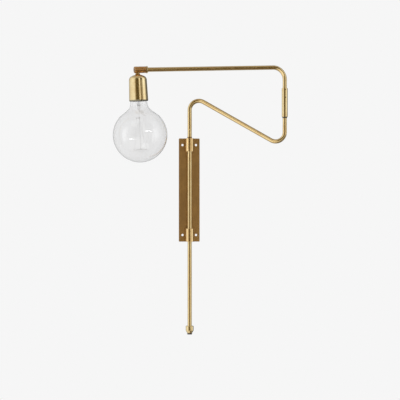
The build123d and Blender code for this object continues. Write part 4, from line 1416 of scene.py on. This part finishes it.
@dataclass
class Studio:
    """The floor, the light round the lamp and the camera, in metres and degrees.

    Args:
        backdrop: brightness of the backdrop as the camera sees it.
        fill: brightness of the light from all round on matt surfaces.
        strip: brightness of the narrow strip lamp that the bulb's glass shows.
        overhead: the tone above, as gloss sees it.
        underfoot: the tone below, as gloss sees it.
        floor_height: the floor's height.
        floor_radius: the floor's radius.
        lamp_distance: from the rod to the soft lamps.
        aim: the point that they face.
        centre: what the camera's axis passes, on the rod's plane.
        distance: from the rod to the camera.
        azimuth: how far the camera stands to the left.
        lens: the focal length, in millimetres.
        sensor: the sensor's width, in millimetres.
    """

    backdrop: float = 0.922
    fill: float = 0.78
    strip: float = 11.0
    overhead: Colour = (0.46, 0.41, 0.35)
    underfoot: Colour = (0.52, 0.48, 0.42)
    floor_height: float = -0.78
    floor_radius: float = 1.6
    lamp_distance: float = 2.2
    aim: Triple = (0.0, 0.0, 0.05)
    centre: Triple = (0.0243, -0.01175, -0.0235)
    distance: float = 3.5
    azimuth: float = 6.0
    lens: float = 134.04
    sensor: float = 36.0

    def build(self) -> None:
        """Builds floor, world, lamps and camera."""
        self.floor()
        self.world()
        self.softbox("left_softbox", -63.0, 0.25, (0.9, 1.9), 1.0)
        self.softbox("right_softbox", 76.0, 0.2, (0.7, 1.9), 1.15)
        self.softbox("top_softbox", -30.0, 2.3, (1.4, 1.4), 1.2)
        self.strip_lamp()
        self.camera()

    def floor(self) -> None:
        """A pale disc below the lamp that keeps its shadow and fades out at its rim."""
        radius = np.linspace(0.0, self.floor_radius, 40) / MM
        height = np.full(40, self.floor_height) / MM
        disc = shaped("studio_floor", [Surface(lathed(radius, height, 96))])
        rim = math.hypot(self.floor_radius, self.floor_height)
        disc.data.materials.append(FloorPaper("floor", 1.0, 0.99 * rim).make(Pattern("paper")))
        log.info("built the floor")

    def world(self) -> None:
        """The light from all round: a plain fill, and for gloss a studio with a dark camera side.

        The studio's brightness is read from its bearing round the lamp, counted from the camera's
        side, and eased to a plain tone overhead and underfoot. Two dark patches lie to the
        camera's right, above and below the level, and two pale ones, one beside the upper dark
        patch and one below the camera.
        """
        world = bpy.data.worlds.new("studio")
        bpy.context.scene.world = world
        world.use_nodes = True
        world.node_tree.nodes.clear()
        graph = Graph(world.node_tree)
        turned = graph.add("Mapping", {
            "Vector": graph.add("TexCoord").outputs["Generated"],
            "Rotation": (0.0, 0.0, math.radians(self.azimuth))})
        x, y, level = graph.add("SeparateXYZ", {0: turned.outputs[0]}).outputs
        bearing = graph.math("ARCTAN2", x, graph.product(y, -1.0))
        share = graph.weighted(0.5, (bearing, 1 / (2 * math.pi)))
        gloss = self.ramp(graph, share)
        gloss = graph.blend(graph.spread(level, 0.55, 0.95), gloss, self.overhead)
        gloss = graph.blend(graph.spread(level, -0.7, -0.98), gloss, self.underfoot)
        for patch in PATCHES:
            gloss = patch.over(graph, bearing, level, gloss)
        seen = graph.math("MAXIMUM", graph.ray("Is Camera Ray"), graph.ray("Is Transmission Ray"))
        unseen = graph.blend(graph.ray("Is Glossy Ray"), (self.fill,) * 3, gloss)
        colour = graph.blend(seen, unseen, (self.backdrop,) * 3)
        background = graph.add("Background", {"Color": colour, "Strength": 1.0})
        graph.add("OutputWorld", {"Surface": background.outputs[0]})
        log.info("built the light from all round")

    @staticmethod
    def ramp(graph: Graph, share: Socket) -> Socket:
        """The studio's tone by the share of the way round: dim parts are brown, others white."""
        ramp = graph.add("ValToRGB", {0: share})
        elements = ramp.color_ramp.elements
        for angle, _ in ROUND[1:-1]:
            elements.new(angle / 360 + 0.5)
        for element, (angle, glow) in zip(elements, ROUND):
            element.position = angle / 360 + 0.5
            pale = float(max(eased(glow, 0.1, 0.9), eased(abs(angle), 60.0, 110.0)))
            green, blue = glow * (0.66 + 0.34 * pale), glow * (0.1 + 0.9 * pale)
            element.color = (glow, green, blue, 1.0)
        return ramp.outputs[0]

    def softbox(
            self, name: str, azimuth: float, height: float, size: tuple[float, float], glow: float
    ) -> Object:
        """A soft lamp aimed at the lamp's middle, for matt surfaces: gloss sees the world.

        Args:
            name: its name.
            azimuth: its bearing from the camera's side.
            height: how high it stands.
            size: its width and height.
            glow: its brightness, where 1 is white.

        Returns:
            The lamp.
        """
        light = bpy.data.lights.new(name, "AREA")
        light.shape = "RECTANGLE"
        light.size, light.size_y = size
        light.energy = glow * math.pi * size[0] * size[1]
        angle = math.radians(azimuth - self.azimuth)
        side, ahead = math.sin(angle) * self.lamp_distance, -math.cos(angle) * self.lamp_distance
        lamp = in_scene(name, light)
        lamp.visible_glossy = False
        lamp.location = (side, ahead, height)
        lamp.rotation_euler = (Vector(self.aim) - lamp.location).to_track_quat("-Z", "Y").to_euler()
        log.info("placed %s", name)
        return lamp

    def strip_lamp(self) -> None:
        """A narrow strip that lights the bulb's glass alone, which shows it as white dashes."""
        lamp = self.softbox("strip_lamp", 34.0, 0.71, (1.1, 0.09), self.strip)
        lamp.visible_glossy = True
        lit = bpy.data.collections.new("lit_by_strip_lamp")
        lit.objects.link(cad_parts["bulb_glass"])
        lamp.light_linking.receiver_collection = lit

    def camera(self) -> None:
        """The camera, level, to the left of the lamp's front, with no shift."""
        angle = math.radians(self.azimuth)
        side = Vector((math.cos(angle), -math.sin(angle), 0.0)) * self.centre[0]
        middle = Vector((0.0, self.centre[1], self.centre[2])) + side
        data = bpy.data.cameras.new("studio_camera")
        data.lens, data.sensor_width = self.lens, self.sensor
        data.clip_start, data.clip_end = 0.1, 50.0
        camera = in_scene("studio_camera", data)
        camera.location = middle - Vector((math.sin(angle), math.cos(angle), 0.0)) * self.distance
        camera.rotation_euler = (QUARTER, 0.0, -angle)
        bpy.context.scene.camera = camera
        bpy.context.scene.view_settings.view_transform = "Standard"
        log.info("placed the camera")


def main() -> None:
    """Builds the lamp's pieces in order, then the studio."""
    logging.basicConfig(level=logging.INFO, format="%(name)s: %(message)s")
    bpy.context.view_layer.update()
    tube_brass = TUBE_BRASS.make(TUBE_PATTERN)
    upper_arm = UpperArm()
    WallBracket().dress_nodes()
    LowerArm().build(tube_brass)
    upper_arm.build(tube_brass)
    SwivelHolder(upper_arm.holder_place()).build()
    GlobeBulb(upper_arm.holder_place()).build()
    Studio().build()


if __name__ == "__main__":
    main()
